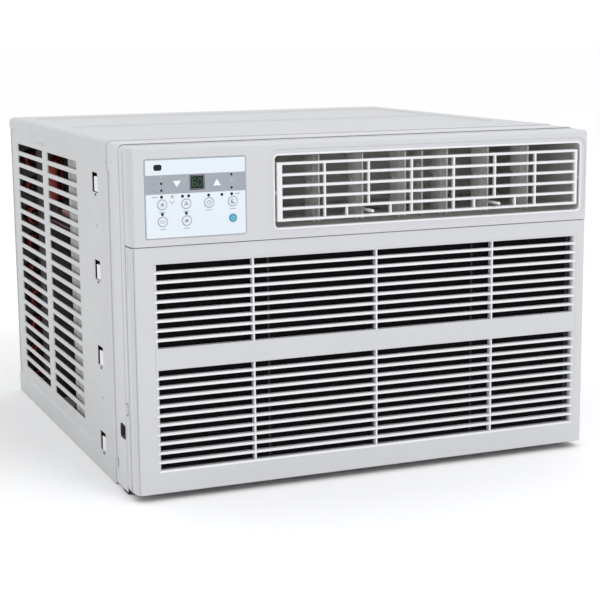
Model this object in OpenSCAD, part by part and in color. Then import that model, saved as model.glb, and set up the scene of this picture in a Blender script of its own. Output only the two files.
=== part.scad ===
// Window air conditioner: a slide-in room unit in a louvred steel sleeve.
// Millimetres. X runs to the right as seen from the room, Y from the room outwards, Z up.
// Sub-parts are laid out from the lower left corner of the front, and place() moves them so
// that the origin lies under the middle of the whole unit.

/* [Sleeve] */
// Overall width
body_w = 660; // [656:1:670]
// Overall height
body_h = 452; // [450:1:458]
// Depth from the front face to the sleeve's rear edge
body_d = 690; // [688:1:700]
// Thickness of the painted steel sheet
sheet_t = 1.2; // [1:0.1:1.4]
// Front edge of the steel sleeve
sleeve_y = 98; // [98:1:102]
// Depth of the pressed fields in the sleeve
press_d = 2; // [1.6:0.1:2.2]

/* [Side louvres] */
// Rows of air slots in each side
slot_rows = 20; // [4:1:20]
// Height of one air slot
slot_h = 11.3; // [8:0.1:12.5]
// Distance from one row to the next
slot_pitch = 18.55; // [17:0.05:18.6]

/* [Inlet grille] */
// Slots above the plain band
upper_slots = 9; // [3:1:9]
// Slots below the plain band
lower_slots = 11; // [3:1:11]
// Height of one grille slot
grille_slot_h = 8.6; // [4:0.1:9]

/* [Air outlet] */
// Left edge of the outlet opening
outlet_x0 = 193; // [190:1:194]
// Gap between the outlet opening and the right side
outlet_margin = 18; // [17:1:20]
// Number of bars in the tilting louvre
louver_bars = 6; // [3:1:6]

/* [Coils] */
// Condenser tubes in each of its two rows
condenser_rows = 18; // [6:2:18]
// Evaporator tubes in each of its two rows
evaporator_rows = 12; // [4:2:12]

/* [Fans] */
// Blades of the blower wheel
wheel_blades = 32; // [12:1:40]
// Blades of the condenser fan
fan_blades = 5; // [3:1:7]

/* [Hidden] */
$fn = 64;
eps = 0.01;
fit = 0.05;                       // radial clearance of a running pin

// Front to back
lever_reach = 10;                 // finger levers stand this far in front of the front face
origin_y = (body_d - lever_reach) / 2;
step_y = 28;                      // first step line in the fascia's sides
collar_y = 45;                    // fascia ends and collar begins
collar_end = sleeve_y - 0.3;
bulkhead_y = 256;
motor_y = 285;
shroud_y = 596;
flange_y = body_d - 3.5;          // rear flange of the sleeve

// Sleeve
side_in = 1;                      // sleeve's sides stand inside the collar's bead
sleeve_z = 0.5;
corner_r = 8;
field_y0 = 200;
field_z0 = 27;
field_z1 = 438.5;
field_r = 25;
slot_columns = [[264, 440], [472, 644]];
slot_top = 412.7;
tab_y = [145, 172];
tab_tops = [406.8, 290.4, 174.3, 56.3];
tab_h = 26;
tab_len = 15;
screw_y = 154;                    // side screw holes for a window frame or bracket
screw_z = [104.5, 337];
screw_r = 2;
rear_lip = 18;
rear_screw_z = [60, 226, 400];
top_fields = [[field_y0, 412], [428, 640]];
top_field_x = 30;

// Base pan
pan_x = 4.8;
pan_t = 1.5;
pan_h = 35;

// Fascia
fascia_x = 3;
fascia_z0 = 5;
fascia_z1 = body_h - 3;
fascia_t = 3;
wall_t = 2.5;
edge_r = 3;
side_r = 5;                       // rounding of the upright front edges
seam_z = 326.6;                   // lower edge of the fascia's upper part
tunnel_end = 76;

// Air outlet
outlet_x1 = body_w - outlet_margin;
outlet_z0 = 340.5;
outlet_z1 = 432;
outlet_r = 5;
divider_x = (outlet_x0 + outlet_x1) / 2;
divider_y = [34, 60];

// Tilting louvre
louver_x = [outlet_x0 + 3, outlet_x1 - 3];
louver_y = [1, 12];
louver_pivot = [7, 385];          // Y and Z of the tilt axis
louver_z0 = 349.6;                // middle of the lowest bar
louver_pitch = 14.38;
bar_t = 3.5;
border_w = 6.5;
pivot_r = 2.5;
rib_pitch = 62.1;
rib_x = [for (i = [-2.5 : 1 : 2.5]) divider_x + i * rib_pitch];
lever_ribs = [1, 4];              // these ribs stop short to let the finger levers through
post_step = 31.2;

// Upright vanes
vane_y = [22, 68];
vane_z = [343, 429.5];
vane_t = 2;
vane_pivot_y = 40;
vane_pin_r = 1.5;
link_y = 60;
link_w = 8;
link_z = [385.5, 389.5];
notch_z = [383, 392];
notch_y = 54;
lever_z = [355, 358];
lever_t = 3;

// Inlet grille
grille_y = 1.5;
grille_t = 3;
grille_z0 = 10;
grille_z1 = seam_z - 1;
grille_side_y = 27.5;
slats_x = [34.8, body_w - 24.8];
recess_x = [29.5, body_w - 19];
recess_z = [37, 307];
recess_d = 0.8;
upper_top = 303.7;
upper_pitch = 12.21;
lower_top = 169.5;
lower_pitch = 12.08;
slat_y = [2.5, 10];
grille_ribs = [for (i = [-1 : 1]) (slats_x[0] + slats_x[1]) / 2 + i * 172.7];
grille_rib_w = 3;
hinge = [8, 18];                  // Y and Z of the grille's hinge axis
hinge_pin_r = 2;
swing_r = 19.6;                   // reach of the grille's lower rear corner from the hinge
ear_r = 3.2;
ear_x = [40, 44];
boss_x = [44.5, 51];

// Filter
filter_x = [31, body_w - 25];
filter_z = [34, 318];
filter_y = [10.4, 14.4];
filter_rim = 7;

// Control panel
panel_x = [22, 153.5];
panel_z = [336, 434];
panel_y = [-0.3, 1.6];
panel_play = 0.3;                 // gap between the panel and its seat
board_y = [12, 13.6];
board_post_z = [350, 420];
switch_w = 6;
switch_y = 8.6;
button_y = [-1.1, 7.4];
button_cap_y = 3;
button_r = 6.3;
display_x = [80.5, 98];
display_z = [395.5, 412.2];
ir_x = [33.6, 44];
ir_z = [420, 427.5];
lamp_r = 1.85;
lamps = [
    [43, 412], [43, 404], [43, 395.6], [43, 387.6],
    [56.7, 387.5], [70, 387.4], [78, 387.5], [104, 387.1], [121.4, 387.1],
    [134.3, 411.7], [134.3, 403.7], [134.3, 395.3], [134.3, 387.3],
    [43.7, 366.2], [74.5, 366.2]
];
// Name, X, Z and shape of each button
BUTTONS = [
    ["temp_down_button", 63, 403, "down"],
    ["temp_up_button", 115, 402.5, "up"],
    ["power_button", 135.7, 357.1, "round"],
    ["mode_button", 43.6, 378, "round"],
    ["fan_speed_button", 74.6, 378, "round"],
    ["timer_button", 104.3, 378, "round"],
    ["sleep_button", 135.6, 378, "round"],
    ["swing_button", 43.8, 357, "round"],
    ["saver_button", 74.9, 357, "round"]
];
power_r = 5;
arrow_w = 11;
arrow_h = 8;

// Control box and its capacitor
box_x = [12, 186];
box_y = [48, 145];
box_z = [333, 441];
box_entry = [40, 350];            // X and Z of the cable entry
can = [100, 356.5];               // X and Z of the capacitor
can_r = 22;
can_y = [65, 140];

// Cord outlet and feet
cord_y = [47, 69];
cord_z = [73, 91];
feet_x = [3, 33];
feet_y = [46, 70];
feet_top = 4;

// Fan shaft
shaft = [350, 195];               // X and Z of the shaft
shaft_r = 6.35;
shaft_y = [190, 592];
wheel_r = 100;
wheel_y = [130, 228];
housing_y = [122, 238];
volute_r0 = 112;
volute_r1 = 150;
volute_a0 = 60;
volute_sweep = 240;
housing_t = 2.5;
housing_top = 337;
duct_t = 3;
duct_end = 252;
motor_len = 100;
motor_r = 60;
fan_r = 168;
fan_y = [546, 590];
ring_r = 176;

// Coils
coil_tube_r = 4.76;
coil_pitch = 22.6;
condenser_x = [36, body_w - 36];
condenser_y = [638, 682];
condenser_tube_y = [649, 671];
condenser_z0 = 35;
evaporator_x = [36, 600];
evaporator_y = [56, 100];
evaporator_tube_y = [67, 89];
evaporator_z0 = 48;
plate_t = 1.5;
plate_flange_z = [17, 430];       // condenser plates' rear flange, behind the sleeve's sides
stub_x = 26;                      // open left ends of the coils

// Compressor
comp = [92, 420];
comp_r = 58;
comp_z = [36, 264];
dome_r = 72;
foot_r = 76;
foot_z = [30, 33];
foot_a = [90, 210, 330];
accu = [175, 390];
accu_r = 24;
accu_z = [84, 200];
suction_r = 6.35;
suction_x = 18;                   // suction line's run along the left side
suction_top = 330;
suction_y = 335;
accu_inlet = 46;                  // from the compressor's axis to the end of the inlet pipe
capillary_z = 60;

// ---- Helpers ----

// Span of width w with its middle at m
function around(m, w) = [m - w / 2, m + w / 2];

module place() translate([-body_w / 2, -origin_y, 0]) children();

// An upright outline in X and Z, extruded from y0 to y1
module along_y(y0, y1) translate([0, y1, 0]) rotate([90, 0, 0]) linear_extrude(y1 - y0) children();

// An outline in Y and Z, extruded from x0 to x1
module along_x(x0, x1) translate([x0, 0, 0]) rotate([90, 0, 90]) linear_extrude(x1 - x0) children();

module along_z(z0, z1) translate([0, 0, z0]) linear_extrude(z1 - z0) children();

module block(a, b) translate(a) cube(b - a);

module rect(u, v) translate([u[0], v[0]]) square([u[1] - u[0], v[1] - v[0]]);

// Rectangle with rounded corners
module rounded(u, v, r) {
    rect([u[0] + r, u[1] - r], v);
    rect(u, [v[0] + r, v[1] - r]);
    for (a = [u[0] + r, u[1] - r], b = [v[0] + r, v[1] - r]) translate([a, b]) circle(r);
}

module both_sides() {
    children();
    translate([body_w, 0, 0]) mirror([1, 0, 0]) children();
}

module bar_x(p, x0, x1, r) translate([x0, p[0], p[1]]) rotate([0, 90, 0]) cylinder(r = r, h = x1 - x0);

module bar_y(p, y0, y1, r) translate([p[0], y1, p[1]]) rotate([90, 0, 0]) cylinder(r = r, h = y1 - y0);

// Straight run of pipe from point a to point b
module run(a, b, r) {
    d = b - a;
    translate(a)
        rotate([0, acos(d[2] / norm(d)), atan2(d[1], d[0])])
            cylinder(r = r, h = norm(d));
}

// Pipe through a list of points
module pipe(p, r) {
    for (i = [0 : len(p) - 2]) run(p[i], p[i + 1], r);
    for (i = [1 : len(p) - 2]) translate(p[i]) sphere(r);
}

// ---- Sleeve and base ----

// Arch outline of the sleeve, inset from its outer faces and open at the bottom
module arch(inset, low) {
    r = corner_r - inset;
    x0 = side_in + inset;
    x1 = body_w - x0;
    z1 = body_h - inset;
    rect([x0, x1], [low, z1 - r]);
    rect([x0 + r, x1 - r], [low, z1]);
    for (x = [x0 + r, x1 - r]) translate([x, z1 - r]) circle(r);
}

// Pressed field of a side in Y and Z: round front corners, open at the rear edge
module side_field(inset) {
    r = field_r - inset;
    y0 = field_y0 + inset;
    z0 = field_z0 + inset;
    z1 = field_z1 - inset;
    rect([y0 + r, body_d + inset], [z0, z1]);
    rect([y0, y0 + r], [z0 + r, z1 - r]);
    for (z = [z0 + r, z1 - r]) translate([y0 + r, z]) circle(r);
}

module side_slots() {
    for (c = slot_columns, k = [0 : slot_rows - 1])
        rect(c, [slot_top - k * slot_pitch - slot_h, slot_top - k * slot_pitch]);
}

// Pressed panel of the left side, with its slots and the step around it
module side_press() {
    along_x(side_in + press_d, side_in + press_d + sheet_t)
        difference() {
            intersection() {
                side_field(0);
                rect([field_y0, body_d], [0, body_h]);
            }
            side_slots();
        }
    along_x(side_in, side_in + press_d + eps)
        intersection() {
            difference() {
                side_field(0);
                side_field(sheet_t);
            }
            rect([field_y0, body_d], [0, body_h]);
        }
}

module top_field(f, inset)
    rounded([top_field_x + inset, body_w - top_field_x - inset], [f[0] + inset, f[1] - inset],
            12 - inset);

module cabinet() {
    color("gainsboro") place() {
        difference() {
            union() {
                along_y(sleeve_y, body_d) difference() {
                    arch(0, sleeve_z);
                    arch(sheet_t, sleeve_z - 1);
                }
                along_y(flange_y, flange_y + sheet_t) difference() {
                    arch(sheet_t / 2, sleeve_z);
                    rect([rear_lip + side_in, body_w - rear_lip - side_in],
                         [sleeve_z - 1, body_h - rear_lip]);
                }
            }
            both_sides() {
                along_x(0, side_in + sheet_t + eps) side_field(0);
                for (z = tab_tops)
                    block([0, tab_y[0], z - tab_h], [side_in + sheet_t + eps, tab_y[1], z]);
                for (z = screw_z) bar_x([screw_y, z], 0, side_in + 5, screw_r);
                for (z = rear_screw_z)
                    bar_y([10, z], flange_y - 1, body_d, 2.2);
            }
            for (f = top_fields) along_z(body_h - sheet_t - eps, body_h + 1) top_field(f, 0);
        }
        both_sides() {
            difference() {
                side_press();
                for (z = rear_screw_z) bar_y([10, z], flange_y - 1, body_d, 2.2);
            }
            for (z = tab_tops)
                translate([side_in, tab_y[0] - 1, z - tab_h + 2])
                    rotate([0, 0, 2.6])
                        cube([sheet_t, tab_len, tab_h - 5.5]);
        }
        for (f = top_fields) {
            along_z(body_h - press_d - sheet_t, body_h - press_d) top_field(f, 0);
            along_z(body_h - press_d - eps, body_h) difference() {
                top_field(f, 0);
                top_field(f, sheet_t);
            }
        }
    }
}

module base_pan() {
    pan_end = flange_y - 0.5;
    color("silver") place() difference() {
        union() {
            block([pan_x, collar_y + 0.3, 0], [body_w - pan_x, pan_end, pan_t]);
            both_sides() block([pan_x, collar_y + 0.3, 0], [pan_x + pan_t, pan_end, pan_h]);
            block([pan_x, collar_y + 0.3, 0], [body_w - pan_x, collar_y + 0.3 + pan_t, 20]);
            block([pan_x, pan_end - pan_t, 0], [body_w - pan_x, pan_end, 16]);
        }
        // Front corners make room for the feet
        both_sides() block([0, 0, -1], [feet_x[1] + 0.5, feet_y[1] + 0.5, pan_h + 1]);
    }
}

// ---- Fascia ----

// Plan outline with round front corners, from face y0 back to y1
module fascia_plan(y0, y1, r) {
    rect([fascia_x + r, body_w - fascia_x - r], [y0, y1]);
    rect([fascia_x, body_w - fascia_x], [y0 + r, y1]);
    for (x = [fascia_x + r, body_w - fascia_x - r]) translate([x, y0 + r]) circle(r);
}

// Side outline with a round front top edge
module fascia_profile(y0, y1, z0, z1, r) {
    rect([y0, y1], [z0, z1 - r]);
    rect([y0 + r, y1], [z0, z1]);
    translate([y0 + r, z1 - r]) circle(r);
}

module grille_ear() {
    along_x(ear_x[0], ear_x[1]) {
        translate(hinge) circle(ear_r);
        rect([hinge[0], step_y + 2], [hinge[1] - ear_r, hinge[1] + ear_r]);
    }
}

module front_bezel() {
    inner = [fascia_x + wall_t, body_w - fascia_x - wall_t];
    color("whitesmoke") place() difference() {
        union() {
            // Upper front, hollow behind
            difference() {
                intersection() {
                    along_z(seam_z, fascia_z1) fascia_plan(0, step_y + 2, side_r);
                    along_x(0, body_w) fascia_profile(0, step_y + 2, seam_z, fascia_z1, edge_r);
                }
                block([inner[0], fascia_t, seam_z + wall_t], [inner[1], step_y + 3, fascia_z1 - wall_t]);
            }
            // Shelf over the inlet
            block([inner[0] - 1, fascia_t - 1, seam_z], [inner[1] + 1, 60, seam_z + wall_t]);
            // Band between the two step lines
            along_y(step_y, collar_y) difference() {
                rounded([2, body_w - 2], [fascia_z0, fascia_z1 + 1], 6);
                rounded(inner, [fascia_z0 + wall_t, fascia_z1 - wall_t], 4);
            }
            // Collar, which stands on the feet
            along_y(collar_y - 1, collar_end) difference() {
                arch(1, feet_top);
                arch(1 + wall_t, feet_top - 1);
            }
            both_sides() {
                block([0, collar_end - 5, pan_h + 1], [3, collar_end, 415]);
                // Ledge over the foot
                block([4, feet_y[0], feet_top], [feet_x[1], feet_y[1], feet_top + wall_t]);
            }
            // Frame behind the inlet grille
            along_y(step_y + 1, step_y + 3.5) difference() {
                rect([fascia_x + 1, body_w - fascia_x - 1], [fascia_z0 + 1, seam_z + 1]);
                rounded([32, body_w - 32], [38, 316], 4);
            }
            // Outlet tunnel and its divider
            along_y(fascia_t - 1, tunnel_end)
                rounded([outlet_x0 - wall_t, outlet_x1 + wall_t],
                        [outlet_z0 - wall_t, outlet_z1 + wall_t], outlet_r + wall_t);
            both_sides() grille_ear();
            // Posts that carry the control board
            for (x = panel_x + [-1, 1], z = board_post_z) bar_y([x, z], fascia_t - 1, board_y[0], 2.5);
        }
        along_y(-1, tunnel_end + 1) rounded([outlet_x0, outlet_x1], [outlet_z0, outlet_z1], outlet_r);
        // Seat and window of the control panel
        along_y(-1, panel_y[1] + 0.1)
            rounded(panel_x + [-panel_play, panel_play], panel_z + [-panel_play, panel_play], 3);
        block([panel_x[0] + 3, -1, panel_z[0] + 3], [panel_x[1] - 3, fascia_t + 1, panel_z[1] - 3]);
        // Bores for the louvre, the vanes and the grille hinge
        bar_x(louver_pivot, outlet_x0 - wall_t - 1, outlet_x1 + wall_t + 1, pivot_r + fit);
        for (x = rib_x) translate([x, vane_pivot_y, outlet_z0 - wall_t - 1])
            cylinder(r = vane_pin_r + fit, h = outlet_z1 - outlet_z0 + 2 * wall_t + 2);
        both_sides() bar_x(hinge, ear_x[0] - 1, ear_x[1] + 1, hinge_pin_r + fit);
        // Cord outlet in the left of the collar
        block([-1, cord_y[0], cord_z[0]], [6, cord_y[1], cord_z[1]]);
    }
    color("whitesmoke") place()
        block([divider_x - 1.25, divider_y[0], outlet_z0], [divider_x + 1.25, divider_y[1], outlet_z1]);
}

module cord_grommet() {
    color([0.05, 0.05, 0.05]) place() difference() {
        union() {
            along_x(1, 2) rounded(cord_y + [-1, 1], cord_z + [-1, 1], 2);
            along_x(1.5, 6) rect(cord_y + [0.1, -0.1], cord_z + [0.1, -0.1]);
        }
        along_x(0, 7) rounded(cord_y + [3.5, -3.5], cord_z + [2.5, -2.5], 3);
    }
}

module front_feet() {
    color([0.08, 0.08, 0.08]) place() both_sides()
        along_z(0, feet_top) rounded(feet_x, feet_y, 3);
}

// ---- Inlet grille and filter ----

module slats(top, pitch, count) {
    for (k = [0 : count - 2])
        block([slats_x[0] - 1, slat_y[0], top - k * pitch - pitch],
              [slats_x[1] + 1, slat_y[1], top - k * pitch - grille_slot_h]);
}

function section_z(top, pitch, count) = [top - (count - 1) * pitch - grille_slot_h, top];

module grille_boss() {
    along_x(boss_x[0], boss_x[1]) {
        translate(hinge) circle(ear_r);
        rect([grille_y + grille_t - 1, hinge[0]], [hinge[1] - ear_r, hinge[1] + ear_r]);
    }
}

// Rail that holds one side of the filter
module filter_rail(x, s) {
    block([min(x, x + s * 2.7), grille_y + 2, 60], [max(x, x + s * 2.7), 16.3, 290]);
    block([min(x + s * 2.7, x - s * 2), 14.8, 60], [max(x + s * 2.7, x - s * 2), 16.3, 290]);
}

module inlet_grille() {
    upper = section_z(upper_top, upper_pitch, upper_slots);
    lower = section_z(lower_top, lower_pitch, lower_slots);
    back = grille_y + grille_t;
    color("white") place() difference() {
        union() {
            difference() {
                intersection() {
                    along_z(grille_z0, grille_z1) fascia_plan(grille_y, grille_side_y, side_r);
                    along_x(0, body_w)
                        fascia_profile(grille_y, grille_side_y, grille_z0, grille_z1, 2);
                }
                block([fascia_x + wall_t, back, 0],
                      [body_w - fascia_x - wall_t, grille_side_y + 1, grille_z1 - wall_t]);
                // Lower rear corners clear the fascia as the grille swings
                along_x(0, body_w) difference() {
                    rect([hinge[0], grille_side_y + 1], [0, hinge[1]]);
                    translate(hinge) circle(swing_r);
                }
                // Top wall is a short lip
                block([fascia_x + wall_t, 12, 0],
                      [body_w - fascia_x - wall_t, grille_side_y + 1, grille_z1 + 1]);
                along_y(grille_y - 1, grille_y + recess_d) rounded(recess_x, recess_z, 5);
                for (s = [upper, lower]) along_y(grille_y - 1, back + 1) rect(slats_x, s);
            }
            for (s = [upper, lower]) along_y(back - 1, slat_y[1]) difference() {
                rect(slats_x + [-2, 2], s + [-2, 2]);
                rect(slats_x, s);
            }
            slats(upper_top, upper_pitch, upper_slots);
            slats(lower_top, lower_pitch, lower_slots);
            for (x = grille_ribs, s = [upper, lower])
                block([x - grille_rib_w / 2, slat_y[0], s[0] - 1],
                      [x + grille_rib_w / 2, slat_y[1], s[1] + 1]);
            both_sides() {
                grille_boss();
                block([fascia_x - 0.8, 19, 272], [fascia_x + 1, 24, 322]);
            }
            filter_rail(filter_x[0] - 0.3, -1);
            filter_rail(filter_x[1] + 0.3, 1);
        }
        both_sides() bar_x(hinge, boss_x[0] - 1, boss_x[1] - 1, hinge_pin_r + 0.02);
    }
}

module grille_hinge_pins() {
    color("silver") place() both_sides() bar_x(hinge, ear_x[0] - 0.5, boss_x[1] - 1, hinge_pin_r);
}

module air_filter_frame() {
    hole_x = filter_x + [filter_rim, -filter_rim];
    hole_z = filter_z + [filter_rim, -filter_rim];
    span = (hole_x[1] - hole_x[0]) / 4;
    color([0.25, 0.27, 0.3]) place() {
        along_y(filter_y[0], filter_y[1]) difference() {
            rounded(filter_x, filter_z, 3);
            rect(hole_x, hole_z);
        }
        for (i = [1 : 3])
            block([hole_x[0] + i * span - 1.5, filter_y[0], hole_z[0] - 1],
                  [hole_x[0] + i * span + 1.5, filter_y[0] + 1.5, hole_z[1] + 1]);
        block([hole_x[0] - 1, filter_y[0], (hole_z[0] + hole_z[1]) / 2 - 1.5],
              [hole_x[1] + 1, filter_y[0] + 1.5, (hole_z[0] + hole_z[1]) / 2 + 1.5]);
    }
}

module air_filter_mesh() {
    color([0.12, 0.13, 0.15]) place()
        along_y(filter_y[0] + 1.6, filter_y[0] + 2.4)
            rect(filter_x + [filter_rim + 0.1, -filter_rim - 0.1],
                 filter_z + [filter_rim + 0.1, -filter_rim - 0.1]);
}

// ---- Control panel ----

module arrow(up, grow) {
    w = arrow_w / 2 + grow * 1.8;
    h = arrow_h / 2 + grow;
    polygon([[-w, -up * h], [w, -up * h], [0, up * (h + grow * 0.6)]]);
}

// Outline of a button, larger by grow
module button_outline(b, grow) {
    if (b[3] == "round") circle((b[0] == "power_button" ? power_r : button_r) + grow);
    else arrow(b[3] == "up" ? 1 : -1, grow);
}

module control_panel() {
    color([0.93, 0.95, 0.96]) place() along_y(panel_y[0], panel_y[1]) difference() {
        rounded(panel_x, panel_z, 2.7);
        for (b = BUTTONS) translate([b[1], b[2]]) button_outline(b, 0.3);
        for (p = lamps) translate(p) circle(lamp_r + 0.1);
        rect(display_x, display_z);
        rounded(ir_x, ir_z, 2.5);
    }
}

module button(b) {
    tint = b[0] == "power_button" ? [0.16, 0.55, 0.7] : [0.9, 0.92, 0.94];
    color(tint) place() {
        translate([b[1], button_cap_y, b[2]]) rotate([90, 0, 0])
            linear_extrude(button_cap_y - button_y[0]) button_outline(b, 0);
        bar_y([b[1], b[2]], button_cap_y - 1, button_y[1], 2);
    }
}

module display_window() {
    color([0.03, 0.03, 0.03]) place() along_y(-0.4, 5)
        rect(display_x + [0.15, -0.15], display_z + [0.15, -0.15]);
}

module ir_window() {
    color([0.03, 0.03, 0.03]) place() along_y(-0.4, 5)
        rounded(ir_x + [0.15, -0.15], ir_z + [0.15, -0.15], 2.35);
}

module indicator_lamps() {
    color([0.6, 0.7, 0.55]) place()
        for (p = lamps) bar_y(p, -0.5, board_y[0], lamp_r);
}

module control_board() {
    color([0.1, 0.35, 0.2]) place() {
        along_y(board_y[0], board_y[1]) rect(panel_x + [-4, 4], panel_z + [-2, 2]);
        for (b = BUTTONS)
            along_y(switch_y, board_y[0] + 0.5) rect(around(b[1], switch_w), around(b[2], switch_w));
        block([display_x[0], 5.2, display_z[0]], [display_x[1], board_y[0] + 0.5, display_z[1]]);
    }
}

module control_box() {
    color("silver") place() difference() {
        along_y(box_y[0], box_y[1]) rect(box_x, box_z);
        along_y(box_y[0] - 1, box_y[1] - sheet_t)
            rect(box_x + [sheet_t, -sheet_t], box_z + [sheet_t, -sheet_t]);
        bar_y(box_entry, box_y[1] - 5, box_y[1] + 5, 8);
    }
}

module run_capacitor() {
    color([0.75, 0.77, 0.8]) place() {
        bar_y(can, can_y[0], can_y[1], can_r);
        for (x = [can[0] - 8, can[0] + 8])
            along_y(can_y[0] - 10, can_y[0] + 1) rect(around(x, 6), around(can[1], 4));
    }
}

// ---- Louvre, vanes and links ----

module louver_frame() {
    z1 = louver_z0 + (louver_bars - 1) * louver_pitch;
    color("white") place() {
        for (k = [0 : louver_bars - 1])
            along_x(louver_x[0], louver_x[1])
                rounded(louver_y, around(louver_z0 + k * louver_pitch, bar_t), 1.6);
        for (x = [louver_x[0], louver_x[1] - border_w])
            block([x, louver_y[0], louver_z0 - 1], [x + border_w, louver_y[1], z1 + 1]);
        for (i = [0 : len(rib_x) - 1]) {
            low = len(search(i, lever_ribs)) > 0 ? louver_z0 + louver_pitch : louver_z0;
            block([rib_x[i] - 1, louver_y[0] + 1, low], [rib_x[i] + 1, louver_y[1] - 1, z1]);
        }
        for (i = lever_ribs, s = [-1, 1])
            block([rib_x[i] + s * post_step - 1, louver_y[0] + 1, louver_z0],
                  [rib_x[i] + s * post_step + 1, louver_y[1] - 1, louver_z0 + louver_pitch]);
        bar_x(louver_pivot, outlet_x0 - wall_t + 0.3, louver_x[0] + 1, pivot_r);
        bar_x(louver_pivot, louver_x[1] - 1, outlet_x1 + wall_t - 0.3, pivot_r);
    }
}

// One upright vane; the middle one of each group has a finger lever
module vane(i) {
    x = rib_x[i - 1];
    color("white") place() {
        difference() {
            block([x - vane_t / 2, vane_y[0], vane_z[0]], [x + vane_t / 2, vane_y[1], vane_z[1]]);
            block([x - vane_t, notch_y, notch_z[0]], [x + vane_t, vane_y[1] + 1, notch_z[1]]);
        }
        translate([x, vane_pivot_y, outlet_z0 - wall_t + 0.2])
            cylinder(r = vane_pin_r, h = outlet_z1 - outlet_z0 + 2 * wall_t - 0.4);
        translate([x, link_y, notch_z[0] - 1]) cylinder(r = vane_pin_r, h = notch_z[1] - notch_z[0] + 2);
        if (len(search(i - 1, lever_ribs)) > 0)
            block([x - lever_t / 2, -lever_reach, lever_z[0]],
                  [x + lever_t / 2, vane_y[0] + 2, lever_z[1]]);
    }
}

// Bar that keeps the vanes i, i + 1 and i + 2 parallel
module vane_link(i) {
    x = [rib_x[i - 1], rib_x[i + 1]];
    color("white") place() difference() {
        along_z(link_z[0], link_z[1])
            rounded(x + [-6, 6], around(link_y, link_w), 3.9);
        for (k = [i - 1 : i + 1]) translate([rib_x[k], link_y, link_z[0] - 1])
            cylinder(r = vane_pin_r + fit, h = link_z[1] - link_z[0] + 2);
    }
}

// ---- Air path inside ----

module discharge_duct() {
    neck = [shaft[0] - volute_r1, shaft[0] + volute_r0 * cos(volute_a0)];
    color("lightgray") place() difference() {
        block([outlet_x0 - duct_t, tunnel_end + 0.5, outlet_z0 - duct_t],
              [outlet_x1 + duct_t, duct_end, outlet_z1 + duct_t]);
        block([outlet_x0, tunnel_end, outlet_z0], [outlet_x1, duct_end - duct_t, outlet_z1]);
        block([neck[0], housing_y[0] + housing_t, outlet_z0 - duct_t - 1],
              [neck[1], housing_y[1] - housing_t, outlet_z0 + 1]);
    }
}

// Spiral outline of the blower housing, larger by t
module volute(t) {
    polygon(concat(
        [for (s = [0 : 12 : volute_sweep])
            let (a = volute_a0 - s, r = volute_r0 + (volute_r1 - volute_r0) * s / volute_sweep + t)
            [shaft[0] + r * cos(a), shaft[1] + r * sin(a)]],
        [[shaft[0] - volute_r1 - t, housing_top],
         [shaft[0] + (volute_r0 + t) * cos(volute_a0), housing_top]]));
}

module blower_housing() {
    color("white") place() difference() {
        along_y(housing_y[0], housing_y[1]) volute(housing_t);
        along_y(housing_y[0] + housing_t, housing_y[1] - housing_t) {
            volute(0);
            rect([shaft[0] - volute_r1, shaft[0] + volute_r0 * cos(volute_a0)],
                 [housing_top - 1, housing_top + 1]);
        }
        bar_y(shaft, housing_y[0] - 1, housing_y[0] + 5, 85);
        bar_y(shaft, housing_y[1] - 5, housing_y[1] + 1, 12);
    }
}

module blower_wheel() {
    color([0.2, 0.2, 0.22]) place() difference() {
        union() {
            bar_y(shaft, wheel_y[1] - 2, wheel_y[1], wheel_r);
            bar_y(shaft, wheel_y[1] - 24, wheel_y[1] + 4, 14);
            difference() {
                bar_y(shaft, wheel_y[0], wheel_y[0] + 3, wheel_r);
                bar_y(shaft, wheel_y[0] - 1, wheel_y[0] + 4, wheel_r - 13);
            }
            for (k = [0 : wheel_blades - 1])
                translate([shaft[0], 0, shaft[1]]) rotate([0, k * 360 / wheel_blades, 0])
                    translate([wheel_r - 13, 0, 0]) rotate([0, 25, 0])
                        block([0, wheel_y[0] + 1, -0.6], [12, wheel_y[1] - 1, 0.6]);
        }
        bar_y(shaft, wheel_y[1] - 30, wheel_y[1] + 10, shaft_r + 0.02);
    }
}

module motor_shaft() {
    color("silver") place() bar_y(shaft, shaft_y[0], shaft_y[1], shaft_r);
}

module condenser_fan() {
    mid = (fan_y[0] + fan_y[1]) / 2;
    color([0.2, 0.2, 0.22]) place() difference() {
        union() {
            bar_y(shaft, fan_y[0] + 4, fan_y[1], 32);
            difference() {
                bar_y(shaft, fan_y[1] - 14, fan_y[1], fan_r + 3);
                bar_y(shaft, fan_y[1] - 15, fan_y[1] + 1, fan_r);
            }
            intersection() {
                for (k = [0 : fan_blades - 1])
                    translate([shaft[0], mid, shaft[1]]) rotate([0, k * 360 / fan_blades, 0])
                        rotate([28, 0, 0]) block([25, -1.5, -45], [fan_r + 5, 1.5, 45]);
                bar_y(shaft, fan_y[0] - 10, fan_y[1] + 10, fan_r + 1);
            }
        }
        bar_y(shaft, fan_y[0] - 10, fan_y[1] + 10, shaft_r + 0.02);
    }
}

module fan_motor() {
    color([0.3, 0.31, 0.33]) place() difference() {
        union() {
            bar_y(shaft, motor_y, motor_y + motor_len, motor_r);
            bar_y(shaft, motor_y - 7, motor_y + motor_len + 7, 38);
            for (x = [-40, 40], z = [-40, 40])
                bar_y(shaft + [x, z], motor_y - 22, motor_y + 5, 2.5);
        }
        bar_y(shaft, motor_y - 10, motor_y + motor_len + 10, shaft_r + fit);
    }
}

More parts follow.
